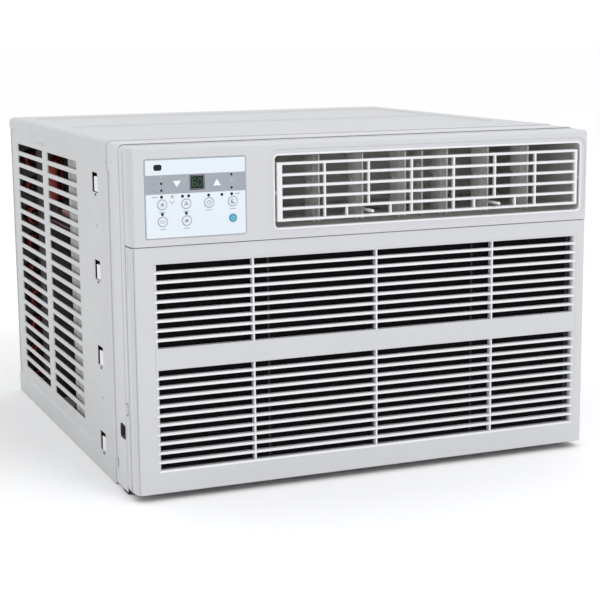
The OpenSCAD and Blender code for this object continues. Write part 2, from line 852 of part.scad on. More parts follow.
module motor_bracket() {
    y0 = motor_y - 17;
    color("silver") place() difference() {
        union() {
            block([shaft[0] - 70, y0, pan_t], [shaft[0] + 70, y0 + 2.5, shaft[1] + 60]);
            block([shaft[0] - 70, y0, pan_t], [shaft[0] + 70, y0 + 55, pan_t + 2.5]);
            for (x = [shaft[0] - 70, shaft[0] + 67.5])
                along_x(x, x + 2.5) polygon([[y0, pan_t], [y0 + 55, pan_t], [y0, 120]]);
        }
        bar_y(shaft, y0 - 1, y0 + 4, 22);
        for (x = [-40, 40], z = [-40, 40]) bar_y(shaft + [x, z], y0 - 1, y0 + 4, 2.6);
    }
}

module bulkhead() {
    color("lightgray") place() difference() {
        union() {
            block([8, bulkhead_y, pan_t], [body_w - 8, bulkhead_y + sheet_t, body_h - 8]);
            both_sides() block([8, bulkhead_y, pan_h + 1], [8 + sheet_t, 330, body_h - 12]);
        }
        bar_y(shaft, bulkhead_y - 1, bulkhead_y + 3, 25);
        bar_y([suction_x, evaporator_z0], bulkhead_y - 1, bulkhead_y + 3, 8);
        bar_y([30, capillary_z], bulkhead_y - 1, bulkhead_y + 3, 3);
    }
}

module fan_shroud() {
    color([0.22, 0.23, 0.25]) place() difference() {
        union() {
            block([30, shroud_y, pan_t], [body_w - 30, shroud_y + 1.5, body_h - 16]);
            bar_y(shaft, shroud_y - 36, shroud_y + 1.5, ring_r + 2);
            both_sides() block([30, shroud_y, pan_t], [31.5, condenser_y[0] - 2.5, body_h - 16]);
        }
        bar_y(shaft, shroud_y - 40, shroud_y + 3, ring_r);
    }
}

// ---- Coils ----

// Half turn between two tubes, bulging to -X or +X
module tube_bend(x, y, z, s, pitch, flat) {
    translate([x, y, z]) rotate(flat ? [0, 0, 0] : [90, 0, 0])
        rotate([0, 0, s > 0 ? -90 : 90])
            rotate_extrude(angle = 180) translate([pitch / 2, 0]) circle(coil_tube_r);
}

// Serpentine of two rows of n tubes. The rows join at tube cross, and the free left ends are
// stubs at the other end of each row.
module coil_tubes(x, ys, z0, n, cross) {
    left = x[0] - 6;
    right = x[1] + 6;
    for (y = ys) {
        for (k = [0 : n - 1]) {
            open = k == (cross == 0 ? n - 1 : 0);
            bar_x([y, z0 + k * coil_pitch], open ? stub_x : left, right, coil_tube_r);
        }
        for (k = [0 : 2 : n - 2]) tube_bend(right, y, z0 + (k + 0.5) * coil_pitch, 1, coil_pitch, false);
        for (k = [1 : 2 : n - 3]) tube_bend(left, y, z0 + (k + 0.5) * coil_pitch, -1, coil_pitch, false);
    }
    tube_bend(left, (ys[0] + ys[1]) / 2, z0 + cross * coil_pitch, -1, ys[1] - ys[0], true);
}

module fin_block(x, y, z, ys, z0, n) {
    difference() {
        block([x[0], y[0], z[0]], [x[1], y[1], z[1]]);
        for (t = ys, k = [0 : n - 1])
            bar_x([t, z0 + k * coil_pitch], x[0] - 1, x[1] + 1, coil_tube_r + 0.04);
    }
}

// Pair of end plates around a fin block
module end_plates(x, y, z, ys, z0, n) {
    difference() {
        for (a = [x[0] - plate_t, x[1]]) block([a, y[0], z[0]], [a + plate_t, y[1], z[1]]);
        for (t = ys, k = [0 : n - 1])
            bar_x([t, z0 + k * coil_pitch], x[0] - 5, x[1] + 5, coil_tube_r + 0.2);
    }
}

module condenser_fins() {
    color([0.72, 0.74, 0.76]) place()
        fin_block(condenser_x, condenser_y, [22, body_h - 20], condenser_tube_y, condenser_z0,
                  condenser_rows);
}

module condenser_tubes() {
    color([0.72, 0.42, 0.28]) place()
        coil_tubes(condenser_x, condenser_tube_y, condenser_z0, condenser_rows, 0);
}

module condenser_end_plates() {
    color("silver") place() {
        end_plates(condenser_x, condenser_y + [-2, 2], [pan_t, body_h - 18], condenser_tube_y,
                   condenser_z0, condenser_rows);
        both_sides() difference() {
            block([pan_x + pan_t + 0.2, condenser_y[1] + 1.6, plate_flange_z[0]],
                  [condenser_x[0], condenser_y[1] + 3, plate_flange_z[1]]);
            for (z = rear_screw_z) bar_y([10, z], condenser_y[1], condenser_y[1] + 5, 2.2);
        }
    }
}

module evaporator_fins() {
    color([0.72, 0.74, 0.76]) place()
        fin_block(evaporator_x, evaporator_y, [30, 318], evaporator_tube_y, evaporator_z0,
                  evaporator_rows);
}

module evaporator_tubes() {
    color([0.72, 0.42, 0.28]) place()
        coil_tubes(evaporator_x, evaporator_tube_y, evaporator_z0, evaporator_rows,
                   evaporator_rows - 1);
}

module evaporator_end_plates() {
    color("silver") place()
        end_plates(evaporator_x, evaporator_y + [-2, 2], [pan_t, 322], evaporator_tube_y,
                   evaporator_z0, evaporator_rows);
}

// ---- Compressor and pipes ----

module at_comp(z) translate([comp[0], comp[1], z]) children();

module foot_points(z)
    for (a = foot_a) translate([comp[0] + foot_r * cos(a), comp[1] + foot_r * sin(a), z]) children();

module compressor() {
    color([0.1, 0.1, 0.11]) place() {
        intersection() {
            at_comp(comp_z[0]) cylinder(r = comp_r, h = comp_z[1] - comp_z[0]);
            union() {
                at_comp(comp_z[0] + dome_r) sphere(dome_r);
                at_comp(comp_z[0] + dome_r)
                    cylinder(r = dome_r, h = comp_z[1] - comp_z[0] - 2 * dome_r);
                at_comp(comp_z[1] - dome_r) sphere(dome_r);
            }
        }
        at_comp(foot_z[0]) cylinder(r = 40, h = 20);
        difference() {
            for (a = foot_a)
                at_comp(foot_z[0]) rotate([0, 0, a]) {
                    translate([0, -16, 0]) cube([foot_r, 32, foot_z[1] - foot_z[0]]);
                    translate([foot_r, 0, 0]) cylinder(r = 16, h = foot_z[1] - foot_z[0]);
                }
            foot_points(foot_z[0] - 1) cylinder(r = 6, h = 10);
        }
    }
}

module compressor_grommets() {
    color([0.06, 0.06, 0.06]) place() difference() {
        union() {
            foot_points(pan_t) cylinder(r = 12, h = foot_z[0] - pan_t);
            foot_points(pan_t) cylinder(r = 5.9, h = 36);
            foot_points(foot_z[1]) cylinder(r = 9, h = 5);
        }
        foot_points(0) cylinder(r = 4.1, h = 50);
    }
}

module compressor_studs() {
    color("silver") place() {
        foot_points(pan_t) cylinder(r = 4, h = 46);
        foot_points(foot_z[1] + 5.1) cylinder(r = 9, h = 1.4);
        foot_points(foot_z[1] + 6.5) cylinder(r = 7.2, h = 5.5, $fn = 6);
    }
}

module terminal_cover() {
    color([0.06, 0.06, 0.06]) place() {
        difference() {
            at_comp(comp_z[1] - 4) cylinder(r = 21, h = 20);
            at_comp(comp_z[1] - dome_r) sphere(dome_r + fit);
        }
        at_comp(comp_z[1] + 16) cylinder(r = 5, h = 5, $fn = 6);
    }
}

module accumulator() {
    low = accu_z[0] - accu_r;
    color([0.12, 0.12, 0.13]) place() {
        translate([accu[0], accu[1], accu_z[0]]) cylinder(r = accu_r, h = accu_z[1] - accu_z[0]);
        for (z = accu_z) translate([accu[0], accu[1], z]) sphere(accu_r);
        pipe([[accu[0], accu[1], low + 4], [accu[0], accu[1], low - 4],
              [comp[0] + accu_inlet, comp[1] - 12, low - 4]], suction_r);
    }
}

module suction_line() {
    color([0.72, 0.42, 0.28]) place()
        pipe([[accu[0], accu[1], accu_z[1] + accu_r - 1], [accu[0], accu[1], suction_top],
              [suction_x, accu[1], suction_top], [suction_x, suction_y, suction_top],
              [suction_x, suction_y, evaporator_z0],
              [suction_x, evaporator_tube_y[1], evaporator_z0],
              [stub_x, evaporator_tube_y[1], evaporator_z0]], suction_r);
}

module discharge_line() {
    top = condenser_z0 + (condenser_rows - 1) * coil_pitch;
    color([0.72, 0.42, 0.28]) place()
        pipe([[comp[0] + 28, comp[1], comp_z[1] - 6], [comp[0] + 28, comp[1], top],
              [20, comp[1], top], [20, condenser_tube_y[0], top],
              [stub_x, condenser_tube_y[0], top]], coil_tube_r);
}

module liquid_line() {
    top = condenser_z0 + (condenser_rows - 1) * coil_pitch;
    color([0.72, 0.42, 0.28]) place()
        pipe([[stub_x, condenser_tube_y[1], top], [18, condenser_tube_y[1], top],
              [18, condenser_tube_y[1], 440], [18, 560, 440], [45, 560, 440], [45, 560, 400]], 3.2);
}

module filter_drier() {
    color([0.72, 0.42, 0.28]) place() {
        translate([45, 560, 330]) cylinder(r = 12, h = 60);
        translate([45, 560, 390]) cylinder(r1 = 12, r2 = 4, h = 10);
        translate([45, 560, 320]) cylinder(r1 = 2, r2 = 12, h = 10);
    }
}

// Upright runs side by side, joined at alternate ends
function zigzag(x, y, z, step, n) =
    [for (k = [0 : n - 1], e = [0, 1]) [x, y + k * step, z[(k + e) % 2]]];

module capillary_tube() {
    color([0.72, 0.42, 0.28]) place()
        pipe(concat(
            [[45, 560, 320], [45, 560, 300], [30, 560, 300]],
            zigzag(30, 348, [300, 120], -14, 5),
            [[30, 292, capillary_z], [30, evaporator_tube_y[0], capillary_z],
             [22, evaporator_tube_y[0], capillary_z], [22, evaporator_tube_y[0], evaporator_z0],
             [stub_x, evaporator_tube_y[0], evaporator_z0]]), 1.5);
}

module sleeve_screws() {
    color("silver") place() both_sides()
        for (z = rear_screw_z) {
            bar_y([10, z], flange_y + sheet_t, body_d, 4.2);
            bar_y([10, z], condenser_y[1] - 2, body_d - 0.5, 2.1);
        }
}

// ---- Nodes ----

cabinet();
base_pan();
front_bezel();
cord_grommet();
front_feet();
inlet_grille();
grille_hinge_pins();
air_filter_frame();
air_filter_mesh();
control_panel();
display_window();
ir_window();
indicator_lamps();
control_board();
control_box();
run_capacitor();
for (b = BUTTONS) button(b);
louver_frame();
for (i = [1 : len(rib_x)]) vane(i);
vane_link(1);  // vane_link_left
vane_link(4);  // vane_link_right
discharge_duct();
blower_housing();
blower_wheel();
motor_shaft();
condenser_fan();
fan_motor();
motor_bracket();
bulkhead();
fan_shroud();
evaporator_fins();
evaporator_tubes();
evaporator_end_plates();
condenser_fins();
condenser_tubes();
condenser_end_plates();
compressor();
compressor_grommets();
compressor_studs();
terminal_cover();
accumulator();
suction_line();
discharge_line();
liquid_line();
filter_drier();
capillary_tube();
sleeve_screws();
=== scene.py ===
"""Window air conditioner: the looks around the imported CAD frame.

Lengths in this script are millimetres in the CAD's layout, X from the left side, Y from the front
face back and Z from the underside. P() turns them into the row frame in metres.
"""
import math

import bmesh
import bpy
from mathutils import Matrix, Vector
from mathutils.geometry import tessellate_polygon


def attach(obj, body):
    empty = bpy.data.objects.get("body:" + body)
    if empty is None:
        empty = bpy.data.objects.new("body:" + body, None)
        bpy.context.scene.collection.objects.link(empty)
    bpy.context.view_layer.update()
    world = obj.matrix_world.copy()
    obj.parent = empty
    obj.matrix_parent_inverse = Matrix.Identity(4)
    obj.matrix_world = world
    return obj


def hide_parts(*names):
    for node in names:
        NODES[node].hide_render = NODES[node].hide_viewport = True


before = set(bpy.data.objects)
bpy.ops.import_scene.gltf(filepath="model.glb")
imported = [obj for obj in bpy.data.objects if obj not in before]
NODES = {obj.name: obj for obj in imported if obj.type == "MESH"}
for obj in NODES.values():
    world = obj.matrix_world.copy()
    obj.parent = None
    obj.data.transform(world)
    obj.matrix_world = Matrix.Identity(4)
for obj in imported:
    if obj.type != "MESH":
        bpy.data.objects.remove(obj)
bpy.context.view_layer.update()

scene = bpy.context.scene
ORIGIN = (330.0, 340.0)
BODY_W, BODY_H = 660.0, 452.0


def P(x, y, z):
    """Layout millimetres to metres in the row frame."""
    return Vector(((x - ORIGIN[0]) / 1000, (y - ORIGIN[1]) / 1000, z / 1000))


def mirror(x, flip):
    """The given X, or its mirror image on the unit's right side."""
    return BODY_W - x if flip else x


# ---- Outlines ----

def rr(u, v, r, grow=0.0, n=4):
    """Rounded rectangle as points, anticlockwise from the corner at high u, high v."""
    u0, u1, v0, v1 = u[0] - grow, u[1] + grow, v[0] - grow, v[1] + grow
    radii = r if isinstance(r, (list, tuple)) else [r] * 4
    points = []
    for k, (cu, cv) in enumerate(((u1, v1), (u0, v1), (u0, v0), (u1, v0))):
        rad = max(radii[k] + grow, 0.02)
        mu = cu + (-rad if k in (0, 3) else rad)
        mv = cv + (-rad if k in (0, 1) else rad)
        for i in range(n + 1):
            a = math.radians(90 * (k + i / n))
            points.append((mu + rad * math.cos(a), mv + rad * math.sin(a)))
    return points


def circle(c, r, n=24):
    """Circle about c as n points."""
    return [(c[0] + r * math.cos(2 * math.pi * i / n), c[1] + r * math.sin(2 * math.pi * i / n))
            for i in range(n)]


def arc_points(c, r, a0, a1, n=14):
    """Arc about c from a0 to a1 degrees, as n + 1 points."""
    return [(c[0] + r * math.cos(math.radians(a0 + (a1 - a0) * i / n)),
             c[1] + r * math.sin(math.radians(a0 + (a1 - a0) * i / n))) for i in range(n + 1)]


def quarter(r, n=4):
    """Steps of a round edge: (distance in from the outline, depth from the face)."""
    return [(r * (1 - math.sin(a)), r * (1 - math.cos(a)))
            for a in (math.pi / 2 * i / n for i in range(n + 1))]


def on_y(outline, y):
    """Stands an outline in X and Z at a depth."""
    return [(x, y, z) for x, z in outline]


# ---- Mesh building ----

class Mesh:
    """Vertices and faces of one piece, in layout millimetres."""

    def __init__(self):
        self.v, self.f, self.mi, self.mat = [], [], [], 0

    def add(self, points):
        """Adds vertices and gives their numbers."""
        start = len(self.v)
        self.v += [tuple(p) for p in points]
        return list(range(start, len(self.v)))

    def face(self, ids):
        """Adds one face in the current material."""
        self.f.append(tuple(ids))
        self.mi.append(self.mat)

    def strip(self, a, b, closed=True):
        """Joins two rows of equal length with quads."""
        for i in range(len(a) if closed else len(a) - 1):
            j = (i + 1) % len(a)
            self.face((a[i], a[j], b[j], b[i]))

    def loft(self, loops, closed=True):
        """Surface through a list of loops; gives the rows of vertex numbers."""
        rows = [self.add(loop) for loop in loops]
        for a, b in zip(rows, rows[1:]):
            self.strip(a, b, closed)
        return rows

    def solid(self, loops):
        """Surface through a list of loops, closed at both ends."""
        rows = self.loft(loops)
        self.fill(rows[0])
        self.fill(rows[-1])

    def fill(self, outer, holes=()):
        """Flat face inside a loop, with holes."""
        loops = [outer, *holes]
        flat = [i for loop in loops for i in loop]
        spread = [max(self.v[i][k] for i in outer) - min(self.v[i][k] for i in outer) for k in range(3)]
        drop = spread.index(min(spread))
        keep = [k for k in range(3) if k != drop]
        points = [[Vector((self.v[i][keep[0]], self.v[i][keep[1]], 0)) for i in loop] for loop in loops]
        for t in tessellate_polygon(points):
            self.face([flat[k] for k in t])

    def plate(self, outline, holes, axis, a, b):
        """Closed plate: an outline with holes, from a to b along an axis."""
        def at(points, c):
            if axis == "y":
                return on_y(points, c)
            if axis == "x":
                return [(c, u, v) for u, v in points]
            return [(u, v, c) for u, v in points]
        ends = []
        for c in (a, b):
            ends.append([self.add(at(loop, c)) for loop in [outline, *holes]])
        for low, high in zip(*ends):
            self.strip(low, high)
        for end in ends:
            self.fill(end[0], end[1:])

    def rbox(self, x, y, z, r=0.6, n=3, corner=0.0):
        """Box with every edge rounded; its four edges along Y can have a larger radius."""
        steps = [(i, y[0] + d) for i, d in quarter(r, n)]
        steps += [(i, y[1] - d) for i, d in reversed(quarter(r, n))]
        self.solid([on_y(rr(x, z, max(corner, r), -i, n), c) for i, c in steps])

    def rod(self, a, b, r, n=16):
        """Round rod between two points."""
        a, b = Vector(a), Vector(b)
        d = (b - a).normalized()
        side = d.orthogonal().normalized()
        up = d.cross(side)
        rows = self.loft([[c + side * r * math.cos(t) + up * r * math.sin(t)
                           for t in (2 * math.pi * i / n for i in range(n))] for c in (a, b)])
        self.face(rows[0])
        self.face(rows[1])

    def lathe(self, x, z, profile, n):
        """Turned shape about an axis along Y: the profile holds (radius, y) from end to end."""
        rows = []
        for r, y in profile:
            count = n if r else 1
            rows.append(self.add(on_y([(x + r * math.cos(2 * math.pi * i / n),
                                        z + r * math.sin(2 * math.pi * i / n)) for i in range(count)], y)))
        for a, b in zip(rows, rows[1:]):
            if len(a) == 1 or len(b) == 1:
                tip, ring = (a[0], b) if len(a) == 1 else (b[0], a)
                for i in range(n):
                    self.face((tip, ring[i], ring[(i + 1) % n]))
            else:
                self.strip(a, b)


SHARP_EDGE = math.radians(40)


def built_mesh(name, m, mats):
    """Blender mesh of the collected faces, with doubles removed and normals outwards."""
    mesh = bpy.data.meshes.new(name)
    mesh.from_pydata([P(*p) for p in m.v], [], m.f)
    for poly, k in zip(mesh.polygons, m.mi):
        poly.material_index = k
    for mat in mats if isinstance(mats, (list, tuple)) else [mats]:
        mesh.materials.append(mat)
    bm = bmesh.new()
    bm.from_mesh(mesh)
    bmesh.ops.remove_doubles(bm, verts=bm.verts, dist=2e-6)
    bmesh.ops.dissolve_degenerate(bm, edges=bm.edges, dist=1e-7)
    bmesh.ops.recalc_face_normals(bm, faces=bm.faces)
    bm.to_mesh(mesh)
    bm.free()
    return mesh


def thicken_or_bevel(obj, thick, bevel):
    """Replaces an object's mesh by one with a wall thickness inwards, or with bevelled edges."""
    if thick:
        mod = obj.modifiers.new("thick", "SOLIDIFY")
        mod.thickness = thick / 1000
        mod.offset = -1
        mod.use_even_offset = True
    if bevel:
        mod = obj.modifiers.new("bevel", "BEVEL")
        mod.width = bevel / 1000
        mod.segments = 2
        mod.limit_method = "ANGLE"
        mod.angle_limit = SHARP_EDGE
    done = bpy.data.meshes.new_from_object(obj.evaluated_get(bpy.context.evaluated_depsgraph_get()))
    done.name = obj.name
    obj.modifiers.clear()
    obj.data = done


def piece(name, m, body, mats, replaces=(), thick=0.0, bevel=0.0, angle=38):
    """Makes a piece of the mesh, smooth up to an angle, and lets it ride on a body."""
    obj = bpy.data.objects.new(name, built_mesh(name, m, mats))
    scene.collection.objects.link(obj)
    if thick or bevel:
        thicken_or_bevel(obj, thick, bevel)
    obj.data.shade_smooth()
    obj.data.set_sharp_from_angle(angle=math.radians(angle))
    obj.modifiers.new("normals", "WEIGHTED_NORMAL").keep_sharp = True
    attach(obj, body)
    if replaces:
        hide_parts(*replaces)


# ---- Materials ----

def noise(tree, place, scale, detail):
    """Noise in the object's own coordinates; gives its output."""
    tex = tree.nodes.new("ShaderNodeTexNoise")
    tex.inputs["Scale"].default_value = scale
    tex.inputs["Detail"].default_value = detail
    tree.links.new(place.outputs["Object"], tex.inputs["Vector"])
    return tex.outputs["Fac"]


def add_bump(tree, height, strength, distance):
    """Lets a height stand out of the surface."""
    bump = tree.nodes.new("ShaderNodeBump")
    bump.inputs["Strength"].default_value = strength
    bump.inputs["Distance"].default_value = distance
    tree.links.new(height, bump.inputs["Height"])
    tree.links.new(bump.outputs["Normal"], tree.nodes["Principled BSDF"].inputs["Normal"])


def material(name, color, rough=0.5, metal=0.0, vary=0.03, vary_scale=14.0, rough_vary=0.06,
             grain=0.0, grain_scale=1500.0, coat=0.0, spec=0.5, second=None, emit=0.0):
    """Plain finish with a slow change of shade, an uneven gloss and a fine surface grain."""
    mat = bpy.data.materials.new(name)
    mat.use_nodes = True
    tree = mat.node_tree
    shader = tree.nodes["Principled BSDF"]
    shader.inputs["Metallic"].default_value = metal
    shader.inputs["Coat Weight"].default_value = coat
    shader.inputs["Specular IOR Level"].default_value = spec
    place = tree.nodes.new("ShaderNodeTexCoord")
    ramp = tree.nodes.new("ShaderNodeValToRGB")
    low = second or [c * (1 - vary) for c in color]
    high = color if second else [min(1.0, c * (1 + vary)) for c in color]
    for stop, position, shade in zip(ramp.color_ramp.elements, (0.3, 0.7), (low, high)):
        stop.position = position
        stop.color = (*shade, 1)
    tree.links.new(noise(tree, place, vary_scale, 4.0), ramp.inputs["Fac"])
    tree.links.new(ramp.outputs["Color"], shader.inputs["Base Color"])
    gloss = tree.nodes.new("ShaderNodeMapRange")
    gloss.inputs["To Min"].default_value = max(0.03, rough - rough_vary)
    gloss.inputs["To Max"].default_value = min(1.0, rough + rough_vary)
    tree.links.new(noise(tree, place, vary_scale * 3.1, 3.0), gloss.inputs["Value"])
    tree.links.new(gloss.outputs["Result"], shader.inputs["Roughness"])
    if grain:
        add_bump(tree, noise(tree, place, grain_scale, 2.0), grain, 0.0004)
    if emit:
        shader.inputs["Emission Color"].default_value = (*color, 1)
        shader.inputs["Emission Strength"].default_value = emit
    return mat


WHITE = material("white_plastic", (0.545, 0.55, 0.565), 0.36, vary=0.012, grain=0.12, grain_scale=1700)
# Lighter copy of the white: a painted highlight for faces that catch the light from above
LIT_WHITE = material("white_painted_highlight", (0.72, 0.725, 0.74), 0.34, vary=0.012, grain=0.1, grain_scale=1700)
PAINT = material("painted_steel", (0.505, 0.51, 0.515), 0.40, vary=0.02, grain=0.22, grain_scale=420)
FILM = material("panel_film", (0.66, 0.72, 0.765), 0.22, vary=0.008, grain=0.04, grain_scale=900)
BAND = material("print_grey", (0.30, 0.32, 0.36), 0.3, vary=0.02)
# Grey of the prints; also painted shade round the catch and in the hook's groove on the front
GREY_INK_AND_SHADE = material("print_mid_and_painted_shade", (0.27, 0.29, 0.32), 0.4, vary=0.04)
INK_WHITE = material("print_white", (0.74, 0.77, 0.80), 0.3, vary=0.01)
INK_BLUE = material("print_blue", (0.30, 0.62, 0.75), 0.3)
KEY = material("button_white", (0.66, 0.705, 0.745), 0.28, vary=0.01, grain=0.05)
KEY_BLUE = material("button_blue", (0.035, 0.29, 0.43), 0.22, vary=0.04, coat=0.3)
GLASS = material("black_gloss", (0.010, 0.011, 0.012), 0.22, vary=0.1, rough_vary=0.03, spec=0.2)
DIGIT = material("digit_green", (0.012, 0.095, 0.035), 0.3, emit=0.3)
LENS = material("lamp_lens", (0.36, 0.44, 0.36), 0.18, vary=0.05)
# Black plastic; also painted shade in the screws' cross recesses
DARK_AND_SHADE = material("dark_plastic", (0.022, 0.023, 0.026), 0.5, spec=0.2, grain=0.15, vary=0.08)
RUBBER = material("black_rubber", (0.018, 0.018, 0.019), 0.7, grain=0.3, grain_scale=900, vary=0.15)
FOAM = material("foam_white", (0.66, 0.66, 0.65), 0.8, grain=0.7, grain_scale=320, vary=0.04)
TRAY = material("tunnel_grey", (0.60, 0.585, 0.565), 0.5, grain=0.1, vary=0.04)
# Vane plastic made lighter than the white plastic against the tunnel's shade: painted light
VANE_LIGHTENED = material("vane_plastic_painted_light", (0.78, 0.765, 0.745), 0.42, grain=0.1, vary=0.04)
ZINC = material("galvanised_steel", (0.26, 0.265, 0.27), 0.45, metal=0.7, vary=0.12, vary_scale=60,
                rough_vary=0.12, grain=0.1, grain_scale=300)
SCREW = material("zinc_steel", (0.62, 0.62, 0.60), 0.28, metal=1.0, vary=0.06, vary_scale=120)
ALU = material("aluminium_fin", (0.74, 0.75, 0.77), 0.42, metal=0.7, vary=0.03, vary_scale=30,
               rough_vary=0.04)
COPPER = material("copper", (0.23, 0.045, 0.036), 0.36, metal=1.0, vary_scale=35, rough_vary=0.12,
                  second=(0.12, 0.022, 0.019))
DULL = material("dull_zinc", (0.31, 0.31, 0.305), 0.6, metal=0.1, vary=0.3, vary_scale=55, grain=0.2,
                grain_scale=260)
SHADE = material("shroud_steel", (0.10, 0.097, 0.094), 0.6, metal=0.1, vary_scale=28, grain=0.2,
                 grain_scale=260, second=(0.035, 0.033, 0.032))
ENAMEL = material("black_steel", (0.020, 0.020, 0.022), 0.32, vary=0.2, grain=0.15, grain_scale=500)
MOTOR = material("motor_grey", (0.16, 0.165, 0.175), 0.42, metal=0.4, vary=0.1, grain=0.15)
FAN = material("fan_black", (0.03, 0.03, 0.033), 0.5, vary=0.1, grain=0.1)
BOARD = material("board_green", (0.03, 0.16, 0.075), 0.45, vary=0.12, vary_scale=90)
CAN = material("capacitor_can", (0.68, 0.69, 0.70), 0.3, metal=0.9, vary=0.04)


def mesh_cloth():
    """Filter mesh: a square weave of dark nylon threads, their colour pushed near black as painted shade seen
    through the inlet's slots.
    """
    # Near black beyond the nylon's own colour: painted shade in the slots
    mat = material("filter_mesh", (0.004, 0.004, 0.0045), 0.8, vary=0.15, spec=0.1)
    tree = mat.node_tree
    place = next(n for n in tree.nodes if n.type == "TEX_COORD")
    both = tree.nodes.new("ShaderNodeMath")
    both.operation = "MAXIMUM"
    for direction, height in zip(("X", "Z"), both.inputs):
        wave = tree.nodes.new("ShaderNodeTexWave")
        wave.bands_direction = direction
        wave.inputs["Scale"].default_value = 160.0
        tree.links.new(place.outputs["Object"], wave.inputs["Vector"])
        tree.links.new(wave.outputs["Fac"], height)
    add_bump(tree, both.outputs["Value"], 0.6, 0.0005)
    return mat


MESH = mesh_cloth()

FINISHES = (
    (DULL, ("bulkhead",)),
    (SHADE, ("fan_shroud",)),
    (ZINC, ("motor_bracket", "evaporator_end_plates", "condenser_end_plates", "control_box")),
    (SCREW, ("grille_hinge_pins", "motor_shaft", "compressor_studs", "sleeve_screws")),
    (DARK_AND_SHADE, ("air_filter_frame", "terminal_cover")),
    (MESH, ("air_filter_mesh",)),
    (BOARD, ("control_board",)),
    (WHITE, ("louver_frame", "vane_link_left", "vane_link_right", "front_bezel", "inlet_grille")),
    (VANE_LIGHTENED, tuple(f"vane_{i}" for i in range(1, 7))),
    (TRAY, ("discharge_duct",)),
    (FOAM, ("blower_housing",)),
    (FAN, ("blower_wheel", "condenser_fan")),
    (MOTOR, ("fan_motor",)),
    (ALU, ("evaporator_fins", "condenser_fins")),
    (COPPER, ("evaporator_tubes", "condenser_tubes", "suction_line", "discharge_line", "liquid_line",
              "filter_drier", "capillary_tube")),
    (ENAMEL, ("compressor", "accumulator")),
    (RUBBER, ("compressor_grommets", "cord_grommet", "front_feet")),
    (CAN, ("run_capacitor",)),
    (GLASS, ("display_window", "ir_window")),
    (LENS, ("indicator_lamps",)),
    (FILM, ("control_panel",)),
    (KEY_BLUE, ("power_button",)),
    (INK_WHITE, ("temp_down_button", "temp_up_button")),
    (KEY, ("mode_button", "fan_speed_button", "timer_button", "sleep_button", "swing_button",
           "saver_button")),
    (PAINT, ("cabinet", "base_pan")),
)


def finish_cad_nodes():
    """Gives every CAD node its material; some of the nodes are replaced by pieces below."""
    for mat, names in FINISHES:
        for name in names:
            NODES[name].data.materials.clear()
            NODES[name].data.materials.append(mat)


finish_cad_nodes()

# ---- Camera, floor and light ----

PHOTO_SIZE, FOCAL_LENGTH = 600, 1515.35     # pixels; the camera is fitted to the unit's corners
SENSOR = 36.0
CAMERA_AT = (-0.8324, -2.1164, 0.5886)
CAMERA_RIGHT = Vector((0.924700, -0.380580, -0.009459))
CAMERA_DOWN = Vector((-0.075563, -0.159131, -0.984361))
CAMERA_AHEAD = Vector((0.373123, 0.910953, -0.175907))


def stage_camera():
    """Camera at the photo's viewpoint."""
    camera = bpy.data.objects.new("camera", bpy.data.cameras.new("camera"))
    scene.collection.objects.link(camera)
    camera.data.sensor_width = SENSOR
    camera.data.lens = FOCAL_LENGTH / PHOTO_SIZE * SENSOR
    camera.data.clip_end = 50.0
    turn = Matrix((CAMERA_RIGHT, -CAMERA_DOWN, -CAMERA_AHEAD)).transposed().to_4x4()
    camera.matrix_world = Matrix.Translation(CAMERA_AT) @ turn
    scene.camera = camera


def stage_floor():
    """Wide pale floor that meets the underside of the unit."""
    mesh = bpy.data.meshes.new("floor")
    rim = circle((0, 0), 60.0, 64)
    mesh.from_pydata([(x, y, 0) for x, y in rim], [], [tuple(range(len(rim)))])
    mesh.materials.append(material("floor", (0.96, 0.96, 0.96), 0.85, vary=0.004, vary_scale=1.5, spec=0.1))
    floor = bpy.data.objects.new("floor", mesh)
    scene.collection.objects.link(floor)


def area_light(name, at, look, size, power):
    """Round lamp at a place, aimed at a point."""
    data = bpy.data.lights.new(name, "AREA")
    data.shape = "DISK"
    data.size = size
    data.energy = power
    light = bpy.data.objects.new(name, data)
    light.location = at
    light.rotation_mode = "QUATERNION"
    light.rotation_quaternion = (Vector(look) - Vector(at)).to_track_quat("-Z", "Y")
    scene.collection.objects.link(light)


def stage_light():
    """Bright white surroundings with a soft key light from the front."""
    area_light("key", (1.2, -3.4, 3.4), (0, -0.3, 0.2), 2.2, 48)
    area_light("fill", (-3.6, -0.8, 1.9), (-0.2, 0, 0.2), 2.4, 1)
    area_light("overhead", (0.2, 0.6, 3.4), (0, 0, 0.4), 3.0, 2)
    world = bpy.data.worlds.new("studio")
    scene.world = world
    world.use_nodes = True
    world.node_tree.nodes["Background"].inputs["Color"].default_value = (0.985, 0.99, 1.0, 1)
    world.node_tree.nodes["Background"].inputs["Strength"].default_value = 1.04
    scene.view_settings.view_transform = "Standard"


stage_camera()
stage_floor()
stage_light()

# ---- Steel sleeve ----

SLEEVE_Y, REAR_Y = 98.0, 690.0
LIP_Y, RIM_Y = SLEEVE_Y + 1.2, SLEEVE_Y + 0.3       # the front edge turns in between these
SIDE_X, SHEET_LOW = 1.0, 1.5                        # outside of a side, and its lower edge
RIM_LOW, RIM_IN = 0.6, 0.7                          # the turned edge: its height, and how far in it goes
SHOULDER_R, SHOULDER_Z = 8.0, 444.0
SHOULDER_X = SIDE_X + SHOULDER_R
TAB_TOPS = (406.8, 290.4, 174.3, 56.3)
SIDE_SLOTS = ((264, 440), (472, 644))               # Y of the two columns
SIDE_SLOT_TOP, SIDE_SLOT_PITCH, SIDE_SLOT_H, SIDE_SLOT_N = 412.7, 18.55, 11.3, 20
SCREW_X, SCREW_Z = (10, 650), (60, 226, 400)
# Edge of a pressed field: (distance in from its outline, depth)
FIELD_STEP = [(0.0, 0.0), (0.7, 0.1), (1.4, 0.45), (2.2, 1.0), (3.0, 1.55), (3.7, 1.9), (4.4, 2.0)]
FIELD_DEPTH = 2
